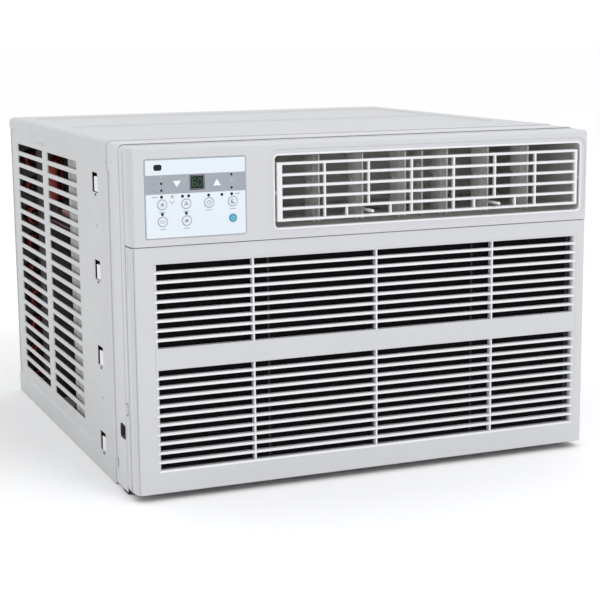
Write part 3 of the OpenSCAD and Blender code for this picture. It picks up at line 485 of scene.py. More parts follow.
# Rolled edges of cut openings: (distance out from the opening, depth)
SLOT_EDGE = [(1.5, 0.0), (0.9, 0.12), (0.4, 0.5), (0.1, 1.1), (0.0, 1.9)]
WINDOW_EDGE = [(0.4, 0), (0, 0.5), (0, 1.2)]
PIN_EDGE = [(0.4, 0), (0.1, 0.2), (0, 1.2)]


def side_field(d):
    """Open outline of a side's pressed field at inset d: bottom rear, round the front, top rear."""
    y0, z0, z1, r = 200.0, 27.0, 438.5, 25.0
    points = [(REAR_Y, z0 + d)]
    for cz, start in ((z0 + r, 270), (z1 - r, 180)):
        points += arc_points((y0 + r, cz), r - d, start, start - 90, 8)
    points.append((REAR_Y, z1 - d))
    return points


def sleeve_side(m, flip):
    """One side: tab windows and pin holes, the pressed field with its slots, the turned edges."""
    def at(points, depth):
        return [(mirror(SIDE_X + depth, flip), y, z) for y, z in points]

    def hole(outline, steps, base=0):
        return m.loft([at(outline(g), base + d) for g, d in steps])[0]

    holes = [hole(lambda g, t=top: rr((145, 172), (t - 26, t), 1.2, g, 3), WINDOW_EDGE) for top in TAB_TOPS]
    holes += [hole(lambda g, z=z: circle((154, z), 2 + g), PIN_EDGE) for z in (104.5, 337)]
    step = m.loft([at(side_field(i), d) for i, d in FIELD_STEP], closed=False)
    corners = [(REAR_Y, SHOULDER_Z), (LIP_Y, SHOULDER_Z), (LIP_Y, SHEET_LOW), (REAR_Y, SHEET_LOW)]
    m.fill([*step[0], *m.add(at(corners, 0))], holes)
    slots = []
    for y in SIDE_SLOTS:
        for k in range(SIDE_SLOT_N):
            top = SIDE_SLOT_TOP - SIDE_SLOT_PITCH * k
            slots.append(hole(lambda g, y=y, z=(top - SIDE_SLOT_H, top): rr(y, z, 0.6, g, 2), SLOT_EDGE,
                              FIELD_DEPTH))
    m.fill(step[-1], slots)
    m.loft([at([(REAR_Y, SHEET_LOW), (LIP_Y, SHEET_LOW)], 0),
            at([(REAR_Y, RIM_LOW), (RIM_Y, RIM_LOW)], RIM_IN)], closed=False)
    m.loft([at([(LIP_Y, SHEET_LOW), (LIP_Y, SHOULDER_Z)], 0),
            at([(RIM_Y, RIM_LOW), (RIM_Y, SHOULDER_Z)], RIM_IN)], closed=False)


def sleeve_shoulder(m, flip):
    """Rounded edge between a side and the top, and its front rim."""
    inward = -RIM_IN if flip else RIM_IN
    line = [(mirror(SHOULDER_X - SHOULDER_R * math.cos(math.radians(a)), flip),
             SHOULDER_Z + SHOULDER_R * math.sin(math.radians(a))) for a in range(0, 91, 10)]
    rim = []
    for x, z in line:
        rise = (z - SHOULDER_Z) / SHOULDER_R
        rim.append((x + inward * (1 - rise), z - RIM_IN * rise))
    m.loft([on_y(line, LIP_Y), on_y(line, REAR_Y)], closed=False)
    m.loft([on_y(line, LIP_Y), on_y(rim, RIM_Y)], closed=False)


def sleeve_top(m):
    """Flat top with its front rim and two pressed fields."""
    x0, x1 = SHOULDER_X, BODY_W - SHOULDER_X
    outer = m.add([(x0, LIP_Y, BODY_H), (x1, LIP_Y, BODY_H), (x1, REAR_Y, BODY_H), (x0, REAR_Y, BODY_H)])
    m.loft([[(x, y, z) for x in (x0, x1)] for y, z in ((LIP_Y, BODY_H), (RIM_Y, BODY_H - RIM_IN))],
           closed=False)
    holes = []
    for y in ((200, 412), (428, 640)):
        rows = m.loft([[(u, v, BODY_H - d) for u, v in rr((30, 630), y, 14, -i, 8)] for i, d in FIELD_STEP])
        holes.append(rows[0])
        m.fill(rows[-1])
    m.fill(outer, holes)


def sleeve_skin():
    """Bent sheet of the sleeve: both sides, the rounded edges and the top."""
    m = Mesh()
    for flip in (False, True):
        sleeve_side(m, flip)
    for flip in (False, True):
        sleeve_shoulder(m, flip)
    sleeve_top(m)
    piece("sleeve_skin", m, "chassis", PAINT, ["cabinet"], thick=1.0)


def sleeve_rear_flange():
    """Flange turned in round the open back, with the screws' holes."""
    m = Mesh()
    inner = [(1.9, 0.8), (19, 0.8), (19, 434), (641, 434), (641, 0.8), (658.1, 0.8)]
    outer = [(658.1, 446), (653, 451.1), (7, 451.1), (1.9, 446)]
    m.plate(inner + outer, [circle((x, z), 2.2, 16) for x in SCREW_X for z in SCREW_Z], "y", 686.5, 687.7)
    piece("sleeve_rear_flange", m, "chassis", PAINT, bevel=0.25)


def sleeve_tab(m, top, flip):
    """Lanced tab that leans out of its window, and the oval dot below it."""
    lean = math.tan(math.radians(2.6))
    loops = []
    for grow, side in ((-0.35, 0.0), (0.0, 0.35), (0.0, 1.0), (-0.35, 1.3)):
        outline = rr((143.5, 158.5), (top - 24.5, top - 4.6), 1.0, grow, 3)
        loops.append([(mirror(1.0 - (y - 143.5) * lean + side, flip), y, z) for y, z in outline])
    m.solid(loops)
    m.mat = 1
    dot = rr((152, 160), (top - 30.4, top - 27.4), 1.4)
    for row in m.loft([[(mirror(x, flip), y, z) for y, z in dot] for x in (0.9, 1.2)]):
        m.face(row)
    m.mat = 0


def sleeve_tabs():
    """Four lanced tabs on each side."""
    m = Mesh()
    for flip in (False, True):
        for top in TAB_TOPS:
            sleeve_tab(m, top, flip)
    # The tabs take the lighter white, a painted highlight for the light their outward lean catches; index 1
    # is the dark dots
    piece("sleeve_tabs", m, "chassis", [LIT_WHITE, DARK_AND_SHADE])


sleeve_skin()
sleeve_rear_flange()
sleeve_tabs()

# ---- Fascia ----

FRONT_X, FASCIA_Z, GRILLE_Z = (3, 657), (326.6, 449), (10, 325.8)
OUT_X, OUT_Z, OUT_R = (193.0, 642.0), (340.5, 432.0), 5.0
PANEL_X, PANEL_Z, PANEL_R = (22.0, 153.5), (336.0, 434.0), 2.7
HINGE_Y, HINGE_Z, EYE_R = 8, 18, 3.2
CORD_Y, CORD_Z = (49.2, 68.2), (74, 90)
COLLAR_X, COLLAR_Y, COLLAR_LOW, COLLAR_TOP, COLLAR_R = 2.0, (46.2, 96.2), 4.1, 451.0, 7
BEVEL_IN, BEVEL_DEPTH = 4.6, 9
EDGE_STEPS = [0, 0.1, 0.3, 0.7, 1.3, 2.1, 3.2, 5.0]
# Step round the outlet and its white lip: (distance out from the outlet, depth)
OUTLET_STEP = [(8.6, 0.0), (8.1, 0.3), (7.7, 1.0), (7.2, 1.3), (3.4, 1.3), (2.8, 1.15)]
OUTLET_LIP = [(2.3, 0.4), (1.8, 0.12), (1.2, 0.05), (0.5, 0.4), (0.0, 1.3), (0.0, 4.0)]


def edge(depth, r):
    """How far a round edge of radius r stands in at a depth from the face."""
    return r - math.sqrt(r * r - (r - depth) ** 2) if depth < r else 0.0


def taper(depth):
    """How far the front's sides stand in at a depth from the face: a small radius and a bevel."""
    return edge(depth, 0.8) + BEVEL_IN * max(0.0, 1 - depth / BEVEL_DEPTH)


def front_outline(depth, z, low_r, high_r, corners, n):
    """Outline of a part of the front at a depth, with tapered sides and rounded upper and lower edges."""
    x = (FRONT_X[0] + taper(depth), FRONT_X[1] - taper(depth))
    return rr(x, (z[0] + edge(depth, low_r), z[1] - edge(depth, high_r)), corners, 0, n)


def hinge_eye(m, x, side, foot):
    """Rounded eye about the hinge's axis: side 1 points forward, side -1 back, its foot at a depth."""
    loops = []
    for c, g in ((x[0], -0.4), (x[0] + 0.4, 0), (x[1] - 0.4, 0), (x[1], -0.4)):
        round_end = arc_points((HINGE_Y, HINGE_Z), EYE_R + g, 90 * side, 90 * side + 180, 12)
        ends = [(foot, HINGE_Z - side * (EYE_R + g)), (foot, HINGE_Z + side * (EYE_R + g))]
        loops.append([(c, y, z) for y, z in round_end + ends])
    m.solid(loops)


def fascia_upper():
    """Upper front, with the step and lip of the outlet and the seat of the panel."""
    m = Mesh()
    shell = m.loft([on_y(front_outline(y, FASCIA_Z, 0.7, 3, [4, 4, 0.8, 0.8], 5), y)
                    for y in EDGE_STEPS + [9, 27.6, 28.4]])
    loops = [on_y(rr(OUT_X, OUT_Z, OUT_R, g, 6), y) for g, y in OUTLET_STEP + OUTLET_LIP]
    step = m.loft(loops[:len(OUTLET_STEP)])
    # The outlet's white lip takes the lighter white: a painted highlight along it
    m.mat = 1
    m.loft(loops[len(OUTLET_STEP) - 1:])
    m.mat = 0
    seat = m.loft([on_y(rr(PANEL_X, PANEL_Z, PANEL_R, g), y)
                   for g, y in ((0.9, 0.0), (0.6, 0.12), (0.35, 0.5), (0.3, 1.7), (-3.0, 1.7))])
    m.fill(shell[0], [step[0], seat[0]])
    piece("fascia_upper", m, "chassis", [WHITE, LIT_WHITE], ["front_bezel"], thick=2.2)


def fascia_band():
    """Recessed band behind the front, and the frame round the inlet and the space above it."""
    m = Mesh()

    def ring(y, x0, z0, z1, r):
        return on_y(rr((x0, BODY_W - x0), (z0, z1), r, 0, 6), y)

    # Rows of the band: depth, inset, bottom, top, corner radius
    band = [(28.7, 3.6, 6.6, 448.4, 5), (28.35, 3.2, 6.2, 448.8, 5.4), (28.25, 2.9, 5.9, 449.1, 5.6),
            (28.4, 2.65, 5.65, 449.35, 6), (29.0, 2.5, 5.5, 449.5, 6), (44.2, 2.5, 5.5, 449.5, 6)]
    rows = m.loft([ring(*values) for values in band])
    m.loft([[m.v[i] for i in rows[-1]], ring(45.4, 2.9, 5.9, 449.1, 5.6)])
    front = m.loft([[m.v[i] for i in rows[0]], ring(29.4, 4.2, 7.2, 447.8, 5)])
    inlet = m.loft([on_y(rr((32, 628), (38, 316), 4, g, 6), y)
                    for g, y in ((0.6, 29.4), (0.15, 29.6), (0, 30.2), (0, 31.5))])
    above = m.loft([on_y(rr((8, 652), (333, 444), 4, 0, 6), y) for y in (29.4, 31)])
    m.fill(front[-1], [inlet[0], above[0]])
    piece("fascia_band", m, "chassis", WHITE, thick=1.8)


def collar_arch(x0, top, r):
    """Open outline of the collar: up the left side, over the top and down the right side."""
    turns = [math.radians(a) for a in range(0, 91, 15)]
    left = [(x0 + r - r * math.cos(a), top - r + r * math.sin(a)) for a in turns]
    right = [(mirror(x, True), z) for x, z in reversed(left)]
    return [(x0, COLLAR_LOW), *left, *right, (mirror(x0, True), COLLAR_LOW)]


def collar_side(m, flip):
    """Flat side of the collar; the left one has the cord outlet and a pin hole."""
    def at(points, x):
        return [(mirror(x, flip), y, z) for y, z in points]

    y0, y1 = COLLAR_Y
    outer = m.add(at([(y0, COLLAR_LOW), (y1, COLLAR_LOW), (y1, SHOULDER_Z), (y0, SHOULDER_Z)], COLLAR_X))
    holes = []
    if not flip:
        for outline, steps in (
            (lambda g: rr((48.4, CORD_Y[1]), CORD_Z, 1.2, g, 3), ((0.9, 0), (0.4, 0.15), (0.1, 0.6), (0, 2))),
            (lambda g: circle((81, 426), 1.4 + g), ((0.3, 0), (0, 0.3), (0, 1.5))),
        ):
            holes.append(m.loft([at(outline(g), COLLAR_X + d) for g, d in steps])[0])
    m.fill(outer, holes)


def fascia_collar():
    """Collar between the band and the sleeve, open below."""
    m = Mesh()
    # Rounded front edge, then the step towards the sleeve: depth, inset, top
    for loops in (((45.2, 2.9, 450.1), (45.0, 2.55, 450.45), (45.1, 2.2, 450.8), (45.5, 2.03, 450.97),
                   (46.2, 2.0, 451.0)),
                  ((96.2, 2.0, 451.0), (98.9, 2.05, 450.95))):
        m.loft([on_y(collar_arch(x0, top, COLLAR_R - (x0 - COLLAR_X)), y) for y, x0, top in loops],
               closed=False)
    line = collar_arch(COLLAR_X, COLLAR_TOP, COLLAR_R)
    m.loft([on_y(line[1:-1], y) for y in COLLAR_Y], closed=False)
    for flip in (False, True):
        collar_side(m, flip)
    piece("fascia_collar", m, "chassis", WHITE, thick=2.0)


def fascia_beads():
    """Beads along the sleeve's edge, a small catch on the band and the hook under the cord outlet, with grey
    patches round the catch and beside the hook as painted shade of their recesses.
    """
    m = Mesh()
    for x in ((0.05, 3.0), (657.0, 659.95)):
        m.rbox(x, (92.7, 97.6), (36.2, 414.8), 1.4, 4)
    m.rbox((1.7, 3.1), (35, 37.2), (110, 121), 0.5, corner=1.0)
    m.rbox((1.2, 2.6), (88.6, 90.4), (28, 40), 0.5, corner=0.8)
    m.rbox((1.2, 2.6), (88.6, 92.0), (38, 40), 0.5, corner=0.8)
    # Grey patches: painted shade round the catch and in the hook's groove
    m.mat = 1
    m.rbox((2.3, 3.0), (33.0, 39.2), (107.5, 123.5), 0.2, corner=2.4)
    m.rbox((1.85, 2.5), (84.0, 88.5), (27, 38), 0.15, corner=1.5)
    piece("fascia_beads", m, "chassis", [WHITE, GREY_INK_AND_SHADE])


def outlet_tunnel():
    """Walls of the tunnel behind the outlet."""
    m = Mesh()
    m.loft([on_y(rr(OUT_X, OUT_Z, OUT_R, 0, 6), y) for y in (3.6, 76.0)])
    piece("outlet_tunnel", m, "chassis", TRAY, thick=-1.8)


def outlet_divider():
    """Upright in the middle of the tunnel, with three small stops."""
    m = Mesh()
    m.rbox((416.25, 418.75), (34, 60), (340.7, 431.8), 0.5, 2)
    for z in (362, 385, 408):
        m.rbox((415.2, 419.8), (45, 52), (z - 2, z + 2), 0.4, 2)
    piece("outlet_divider", m, "chassis", TRAY)


def fascia_shelf():
    """Shelf over the inlet, and the eyes that hold the grille's hinge pins."""
    m = Mesh()
    m.rbox((6, 654), (28.5, 60), (326.8, 329), 0.4, 2)
    for x in ((40, 44), (616, 620)):
        hinge_eye(m, x, 1, 30)
    piece("fascia_shelf", m, "chassis", WHITE)


def cord_outlet():
    """Rubber liner of the cord outlet, a tapered throat with a rolled rim."""
    m = Mesh()
    steps = [(1.6, 2.1), (1.5, 1.5), (0.9, 1.2), (0.1, 1.35), (-0.5, 1.9), (-1.4, 3.2), (-1.7, 6.0),
             (-0.6, 6.0), (-0.4, 2.1)]
    m.loft([[(x, y, z) for y, z in rr(CORD_Y, CORD_Z, 2.6, g)] for g, x in steps])
    piece("cord_liner", m, "chassis", RUBBER, ["cord_grommet"])


fascia_upper()
fascia_band()
fascia_collar()
fascia_beads()
outlet_tunnel()
outlet_divider()
fascia_shelf()
cord_outlet()

# ---- Inlet grille ----

GRILLE_Y, SLOT_H = 1.5, 8.6
UPPER, LOWER = (303.7, 12.21, 9), (169.5, 12.08, 11)        # top of the first slot, pitch, slots
SLOT_X = (34.8, 635.2)
RIBS = [sum(SLOT_X) / 2 + i * 172.7 for i in (-1, 0, 1)]
RIB_W = 3.0
BACK_X, BACK_Z = (31.2, 638.9), (39, 305)                   # slotted part of the plate, seen from behind
# Section across a sloping slat: (depth, height from -1 to 1)
SLAT_FACE = [(2.6, -1.0), (0.95, -1.0), (0.45, -0.92), (0.15, -0.72), (0.1, -0.5), (1.15, 0.62),
             (1.45, 0.8), (1.95, 0.95), (2.6, 1.0)]
# A slat's ends sink into the plate: (x, extra depth)
SLAT_ENDS = [(30.5, 1.2), (30.7, 0.5), (31.2, 0.12), (32.0, 0.0), (638.0, 0.0), (638.8, 0.12), (639.3, 0.5),
             (639.5, 1.2)]


def slot_rows(field):
    """Bottom and top of every slot in a field."""
    top, pitch, count = field
    return [(top - k * pitch - SLOT_H, top - k * pitch) for k in range(count)]


def grille_front():
    """Plate of the grille with its recessed, slotted field."""
    m = Mesh()
    rim = m.loft([on_y(front_outline(d, GRILLE_Z, 1.2, 0.8, [1.2, 1.2, 2.5, 2.5], 4), GRILLE_Y + d)
                  for d in EDGE_STEPS[:6] + [3.1]])
    recess = m.loft([on_y(rr((29.5, 641), (37, 307), 5, g, 5), GRILLE_Y + d)
                     for g, d in ((0.5, 0.0), (0.0, 0.08), (-0.5, 0.3), (-1.1, 0.66), (-1.5, 0.8))])
    m.fill(rim[0], [recess[0]])
    edges = [SLOT_X[0], *RIBS, SLOT_X[1]]
    slots, walls = [], []
    for z in slot_rows(UPPER) + slot_rows(LOWER):
        for a, b in zip(edges, edges[1:]):
            x = (a + (RIB_W / 2 if a in RIBS else 0), b - (RIB_W / 2 if b in RIBS else 0))
            hole = m.loft([on_y(rr(x, z, 0.35, g, 2), GRILLE_Y + d)
                           for g, d in ((1.0, 0.8), (0.9, 1.3), (0.6, 1.9), (0.0, 2.5), (0.0, 8.5))])
            slots.append(hole[0])
            walls.append(hole[-1])
    m.fill(recess[-1], slots)
    back = m.add(on_y(rr(BACK_X, BACK_Z, 3), 10.0))
    m.fill(back, walls)
    step = m.add(on_y(rr(BACK_X, BACK_Z, 3), 4.6))
    m.fill(rim[-1], [step])
    m.strip(step, back)
    piece("grille_front", m, "grille", WHITE, ["inlet_grille"])


def slat(m, z0, z1, flat=False):
    """Slat between two heights, with a sloping face or a flat one."""
    mid, half = (z0 + z1) / 2, (z1 - z0) / 2
    shape = SLAT_FACE
    # Index 0 is the lighter white of grille_slats, a painted highlight; flat slats take index 1, the plain
    # white
    m.mat = 0
    if flat:
        m.mat = 1
        shape = [(2.6, -1), (0.95, -1), (0.4, -1 + 0.3 / half), (0.1, -1 + 1.1 / half),
                 (0.1, 1 - 1.1 / half), (0.4, 1 - 0.3 / half), (0.95, 1), (2.6, 1)]
    m.solid([[(x, GRILLE_Y + max(d, min(2.6, d + sink)), mid + v * half) for d, v in shape]
             for x, sink in SLAT_ENDS])


def grille_slats():
    """Slats between the slots, the plain band, the narrow slats at both ends, and the ribs."""
    m = Mesh()
    for field in (UPPER, LOWER):
        rows = slot_rows(field)
        for above, below in zip(rows, rows[1:]):
            slat(m, below[1], above[0])
    upper_low, lower_low = slot_rows(UPPER)[-1][0], slot_rows(LOWER)[-1][0]
    slat(m, LOWER[0], upper_low, True)
    slat(m, UPPER[0], UPPER[0] + 2.8, True)
    slat(m, lower_low - 2.9, lower_low)
    for x in RIBS:
        for z in ((lower_low - 0.5, LOWER[0] + 0.5), (upper_low - 0.5, UPPER[0] + 0.5)):
            m.rbox((x - 1.2, x + 1.2), (GRILLE_Y + 0.1, GRILLE_Y + 3.0), z, 0.7)
    # Sloping slats, the bottom slat and the ribs take the lighter white as a painted highlight on faces
    # turned up to the light; the flat slats stay plain white
    piece("grille_slats", m, "grille", [LIT_WHITE, WHITE])


def grille_side(m, flip):
    """Side wall, whose lower rear corner follows the swing, with its pad."""
    outer_x, inner_x = 3, 5.4
    loops = []
    # Height, and the depth of the wall's rear edge there
    for z, rear in ((10.2, 25.7), (12, 26.6), (14, 27.2), (16.5, 27.45), (20, 27.8), (325.2, 27.8)):
        line = [(outer_x + taper(d), GRILLE_Y + d) for d in (2.1, 3.2, 5.0, 9.0)]
        line += [(outer_x, rear - 0.6), (3.2, rear - 0.15), (3.6, rear), (4.8, rear), (5.25, rear - 0.15),
                 (inner_x, rear - 0.6)]
        line += [(inner_x + taper(d), GRILLE_Y + d) for d in (9.0, 5.0, 2.1)]
        loops.append([(mirror(x, flip), y, z) for x, y in line])
    m.solid(loops)
    m.rbox(sorted((mirror(2.2, flip), mirror(4.2, flip))), (18.8, 24.2), (272, 322), 0.9)


def grille_walls():
    """Side walls, hinge eyes, the filter's rails and the stiffener along the top."""
    m = Mesh()
    for flip in (False, True):
        grille_side(m, flip)
        hinge_eye(m, sorted((mirror(44.5, flip), mirror(51, flip))), -1, 4.0)
    for x, s in ((30.7, -1), (635.3, 1)):
        m.rbox(sorted((x, x + s * 2.7)), (4.4, 16.3), (60, 290), 0.4, 2)
        m.rbox(sorted((x + s * 2.7, x - s * 2.0)), (14.8, 16.3), (60, 290), 0.35, 2)
    m.rbox((7.4, 652.6), (4.4, 12.0), (323.4, 325.7), 0.5, 2)
    piece("grille_walls", m, "grille", WHITE)


grille_front()
grille_slats()
grille_walls()

# ---- Control panel ----

FILM_Y, CAP_Y = -0.3, -1.1              # faces of the panel film and of the buttons' caps
PRINT_LIFT, SIGN_LIFT = 0.045, 0.12     # how far prints stand out from the film and from a cap
CAPTION_Z = (411.9, 403.8, 395.6, 387.6)
ROUND_R, POWER_AT, POWER_R = 6.3, (135.7, 357.1), 5.0
# Centre of each lamp, and 1 for the frosted ones
LAMPS = [(43, 412, 1), (43, 404, 0), (43, 395.6, 0), (43, 387.6, 0), (56.7, 387.5, 1), (70, 387.4, 0),
         (78, 387.5, 0), (104, 387.1, 0), (121.4, 387.1, 0), (134.3, 411.7, 0), (134.3, 403.7, 1),
         (134.3, 395.3, 0), (134.3, 387.3, 0), (43.7, 366.2, 0), (74.5, 366.2, 0)]
# Turned shapes: (radius, depth)
LAMP_PROFILE = [(0, -0.62), (0.8, -0.58), (1.4, -0.45), (1.8, -0.15), (1.85, 0.4), (1.85, 11.9), (0, 11.9)]
DIGIT_Z, DIGIT_Y, DIGIT_SLANT = 403.85, -0.42, 0.08
# Ends of each segment of a digit, about the digit's centre
SEGMENTS = {"a": ((-1.9, 4.6), (1.9, 4.6)), "g": ((-1.9, 0), (1.9, 0)), "d": ((-1.9, -4.6), (1.9, -4.6)),
            "f": ((-2.4, 4.1), (-2.4, 0.5)), "b": ((2.4, 4.1), (2.4, 0.5)),
            "e": ((-2.4, -0.5), (-2.4, -4.1)), "c": ((2.4, -0.5), (2.4, -4.1))}


def print_ring(m, outer, inner, y, lift=PRINT_LIFT):
    """Printed outline: a thin raised ring between two outlines."""
    rows = m.loft([on_y(outer, y), on_y(outer, y - lift), on_y(inner, y - lift), on_y(inner, y)])
    m.strip(rows[0], rows[-1])


def print_patch(m, outline, y, lift=PRINT_LIFT):
    """Printed shape: a thin raised patch."""
    m.solid([on_y(outline, c) for c in (y, y - lift)])


def print_line(m, a, b, w, y, lift=PRINT_LIFT):
    """Printed line of a width between two points."""
    d = Vector((b[0] - a[0], b[1] - a[1])).normalized() * w / 2
    print_patch(m, [(a[0] - d.y, a[1] + d.x), (b[0] - d.y, b[1] + d.x),
                    (b[0] + d.y, b[1] - d.x), (a[0] + d.y, a[1] - d.x)], y, lift)


def print_dash(m, x, z, half, y):
    """Printed dash that stands for a caption."""
    print_patch(m, rr(x, (z - half, z + half), 0.3, 0, 2), y)


def panel_prints():
    """The film's border, its grey band, and the dashes, chevron and display frame on it."""
    m = Mesh()
    print_ring(m, rr(PANEL_X, PANEL_Z, PANEL_R, -0.25), rr(PANEL_X, PANEL_Z, PANEL_R, -1.0), FILM_Y)
    piece("print_border", m, "chassis", GREY_INK_AND_SHADE)
    m = Mesh()
    print_patch(m, rr((23.1, 152.5), (391, 414.5), 0.2, 0, 2), FILM_Y, 0.03)
    piece("print_band", m, "chassis", BAND)
    m = Mesh()
    band_y = FILM_Y - 0.03
    for z in CAPTION_Z:
        print_dash(m, (30.5, 37.5), z, 0.45, band_y)
        print_dash(m, (139.0, 145.5), z, 0.45, band_y)
    print_line(m, (53.6, 382.3), (56.7, 378.9), 0.8, FILM_Y)
    print_line(m, (56.7, 378.9), (59.8, 382.3), 0.8, FILM_Y)
    for _, (x, z), _ in ROUND_BUTTONS:
        print_dash(m, (x - 4.2, x + 4.2), z - 9.4, 0.4, FILM_Y)
    m.mat = 1
    print_ring(m, rr((79.6, 98.9), (394.6, 413.1), 1.2, 0, 3), rr((80.6, 97.9), (395.6, 412.1), 0.6, 0, 3),
               band_y)
    piece("print_marks", m, "chassis", [GREY_INK_AND_SHADE, GLASS])


def panel_lamps():
    """Fifteen small domes, most of them dark."""
    m = Mesh()
    for x, z, frosted in LAMPS:
        m.mat = frosted
        m.lathe(x, z, LAMP_PROFILE, 16)
    piece("panel_lamps", m, "chassis", [GLASS, LENS], ["indicator_lamps"])


def glass_window(name, node, x, z, corner, n, steps):
    """Glossy black window with a rounded rim."""
    m = Mesh()
    m.solid([on_y(rr(x, z, corner, g, n), y) for g, y in steps])
    piece(name, m, "chassis", GLASS, [node])


def panel_windows():
    """Display window with two seven-segment digits, and the receiver's window."""
    glass_window("display_glass", "display_window", (80.65, 97.85), (395.65, 412.05), 0.8, 3,
                 ((-1.2, DIGIT_Y), (-0.5, -0.40), (-0.1, -0.2), (0, 0.1), (0, 5.0)))
    m = Mesh()
    for segments, cx in (("acdefg", 85.6), ("abcdef", 92.9)):
        for s in segments:
            a, b = ((cx + u + v * DIGIT_SLANT, DIGIT_Z + v) for u, v in SEGMENTS[s])
            print_line(m, a, b, 0.8, DIGIT_Y, 0.04)
    piece("display_digits", m, "chassis", DIGIT)
    glass_window("receiver_glass", "ir_window", (33.75, 43.85), (420.15, 427.35), 2.35, 5,
                 ((-1.6, -0.46), (-0.8, -0.42), (-0.2, -0.2), (0, 0.1), (0, 5.0)))


# ---- Buttons ----

def sign_star(m, x, z, y):
    """Three crossed lines."""
    for a in (90, 30, 150):
        c, s = math.cos(math.radians(a)), math.sin(math.radians(a))
        print_line(m, (x - 3 * c, z - 3 * s), (x + 3 * c, z + 3 * s), 0.8, y, SIGN_LIFT)


def sign_fan(m, x, z, y):
    """Three round blades and a hub."""
    for a in (90, 210, 330):
        p = (x + 1.7 * math.cos(math.radians(a)), z + 1.7 * math.sin(math.radians(a)))
        print_patch(m, circle(p, 1.15, 14), y, SIGN_LIFT)
    print_patch(m, circle((x, z), 0.6, 10), y, 0.13)


def sign_clock(m, x, z, y):
    """Clock face with two hands."""
    print_ring(m, circle((x, z), 3.1, 28), circle((x, z), 2.5, 28), y, SIGN_LIFT)
    print_line(m, (x, z - 0.2), (x, z + 1.9), 0.65, y, SIGN_LIFT)
    print_line(m, (x - 0.2, z), (x + 1.6, z), 0.65, y, 0.125)


def sign_moon(m, x, z, y):
    """Crescent."""
    outer = arc_points((x, z), 3.1, 60, 330, 20)
    inner = arc_points((x + 1.5, z + 0.9), 2.2, 318, 82, 16)
    print_patch(m, outer + inner, y, SIGN_LIFT)


def sign_oval(m, x, z, y):
    """Flat ring."""
    u, v = (x - 3.2, x + 3.2), (z - 1.7, z + 1.7)
    print_ring(m, rr(u, v, 1.6), rr(u, v, 1.6, -0.6), y, SIGN_LIFT)


def sign_leaf(m, x, z, y):
    """Leaf with its stalk at the lower left."""
    print_patch(m, arc_points((x - 0.6, z - 0.6), 2.7, -20, 110, 10) + [(x - 2.6, z - 2.4)], y, SIGN_LIFT)


ROUND_BUTTONS = (
    ("mode_button", (43.6, 378), sign_star), ("fan_speed_button", (74.6, 378), sign_fan),
    ("timer_button", (104.3, 378), sign_clock), ("sleep_button", (135.6, 378), sign_moon),
    ("swing_button", (43.8, 357), sign_oval), ("saver_button", (74.9, 357), sign_leaf),
)


def button_cap(node, at, r, mat):
    """Turned cap of a round button, slightly hollow on top, with its stem."""
    m = Mesh()
    m.lathe(*at, [(0, -1.0), (r * 0.5, -1.02), (r - 0.75, CAP_Y), (r - 0.35, -1.02), (r - 0.08, -0.8),
                  (r, -0.5), (r, 3.0), (2, 3.0), (2, 7.4), (0, 7.4)], 40)
    piece(f"{node}_cap", m, node, mat, [node])


def round_buttons():
    """Six round buttons, each with a printed ring and its sign."""
    for node, at, sign in ROUND_BUTTONS:
        button_cap(node, at, ROUND_R, KEY)
        m = Mesh()
        print_ring(m, circle(at, 5.95, 40), circle(at, 5.35, 40), CAP_Y + 0.05, 0.09)
        sign(m, *at, CAP_Y + 0.08)
        piece(f"{node}_print", m, node, GREY_INK_AND_SHADE)


def power_button():
    """Blue button with a broken ring and a short line."""
    button_cap("power_button", POWER_AT, POWER_R, KEY_BLUE)
    m = Mesh()
    y = CAP_Y + 0.06
    print_patch(m, arc_points(POWER_AT, 2.5, 125, 415, 20) + arc_points(POWER_AT, 1.95, 415, 125, 20), y, 0.1)
    print_line(m, (POWER_AT[0], 357.4), (POWER_AT[0], 360.0), 0.55, y, 0.1)
    piece("power_button_print", m, "power_button", INK_BLUE)


def arrow_buttons():
    """Two triangular buttons beside the display, pointing down and up."""
    w, h, tip = 5.4, 3.9, 0.4
    for node, x, z, up in (("temp_down_button", 63, 403, -1), ("temp_up_button", 115, 402.5, 1)):
        m = Mesh()
        low, high = z - up * h, z + up * h
        m.plate([(x - w, low), (x + w, low), (x + tip, high), (x - tip, high)], [], "y", -1.05, 3.0)
        m.rod((x, 2.5, z), (x, 7.4, z), 2)
        piece(f"{node}_cap", m, node, INK_WHITE, [node], bevel=0.3)


panel_prints()
panel_lamps()
panel_windows()
round_buttons()
power_button()
arrow_buttons()

# ---- Louvre, vanes and links ----

RIB_X = [417.5 + 62.1 * i for i in (-2.5, -1.5, -0.5, 0.5, 1.5, 2.5)]
LEVER_RIBS = (1, 4)                     # these stop short and leave a gap for a finger lever
POST_STEP = 31.2
BARS = [349.6 + 14.38 * k for k in range(6)]
TILT_Y, TILT_Z = 7, 385
VANE_OUTLINE = [(22.4, 343), (67.2, 343), (68, 344), (68, 383), (54, 383), (54, 392), (68, 392),
                (68, 428.5), (67.2, 429.5), (22.4, 429.5), (22, 428.9), (22, 343.6)]
VANE_PIVOT_Y, LINK_Y = 40, 60


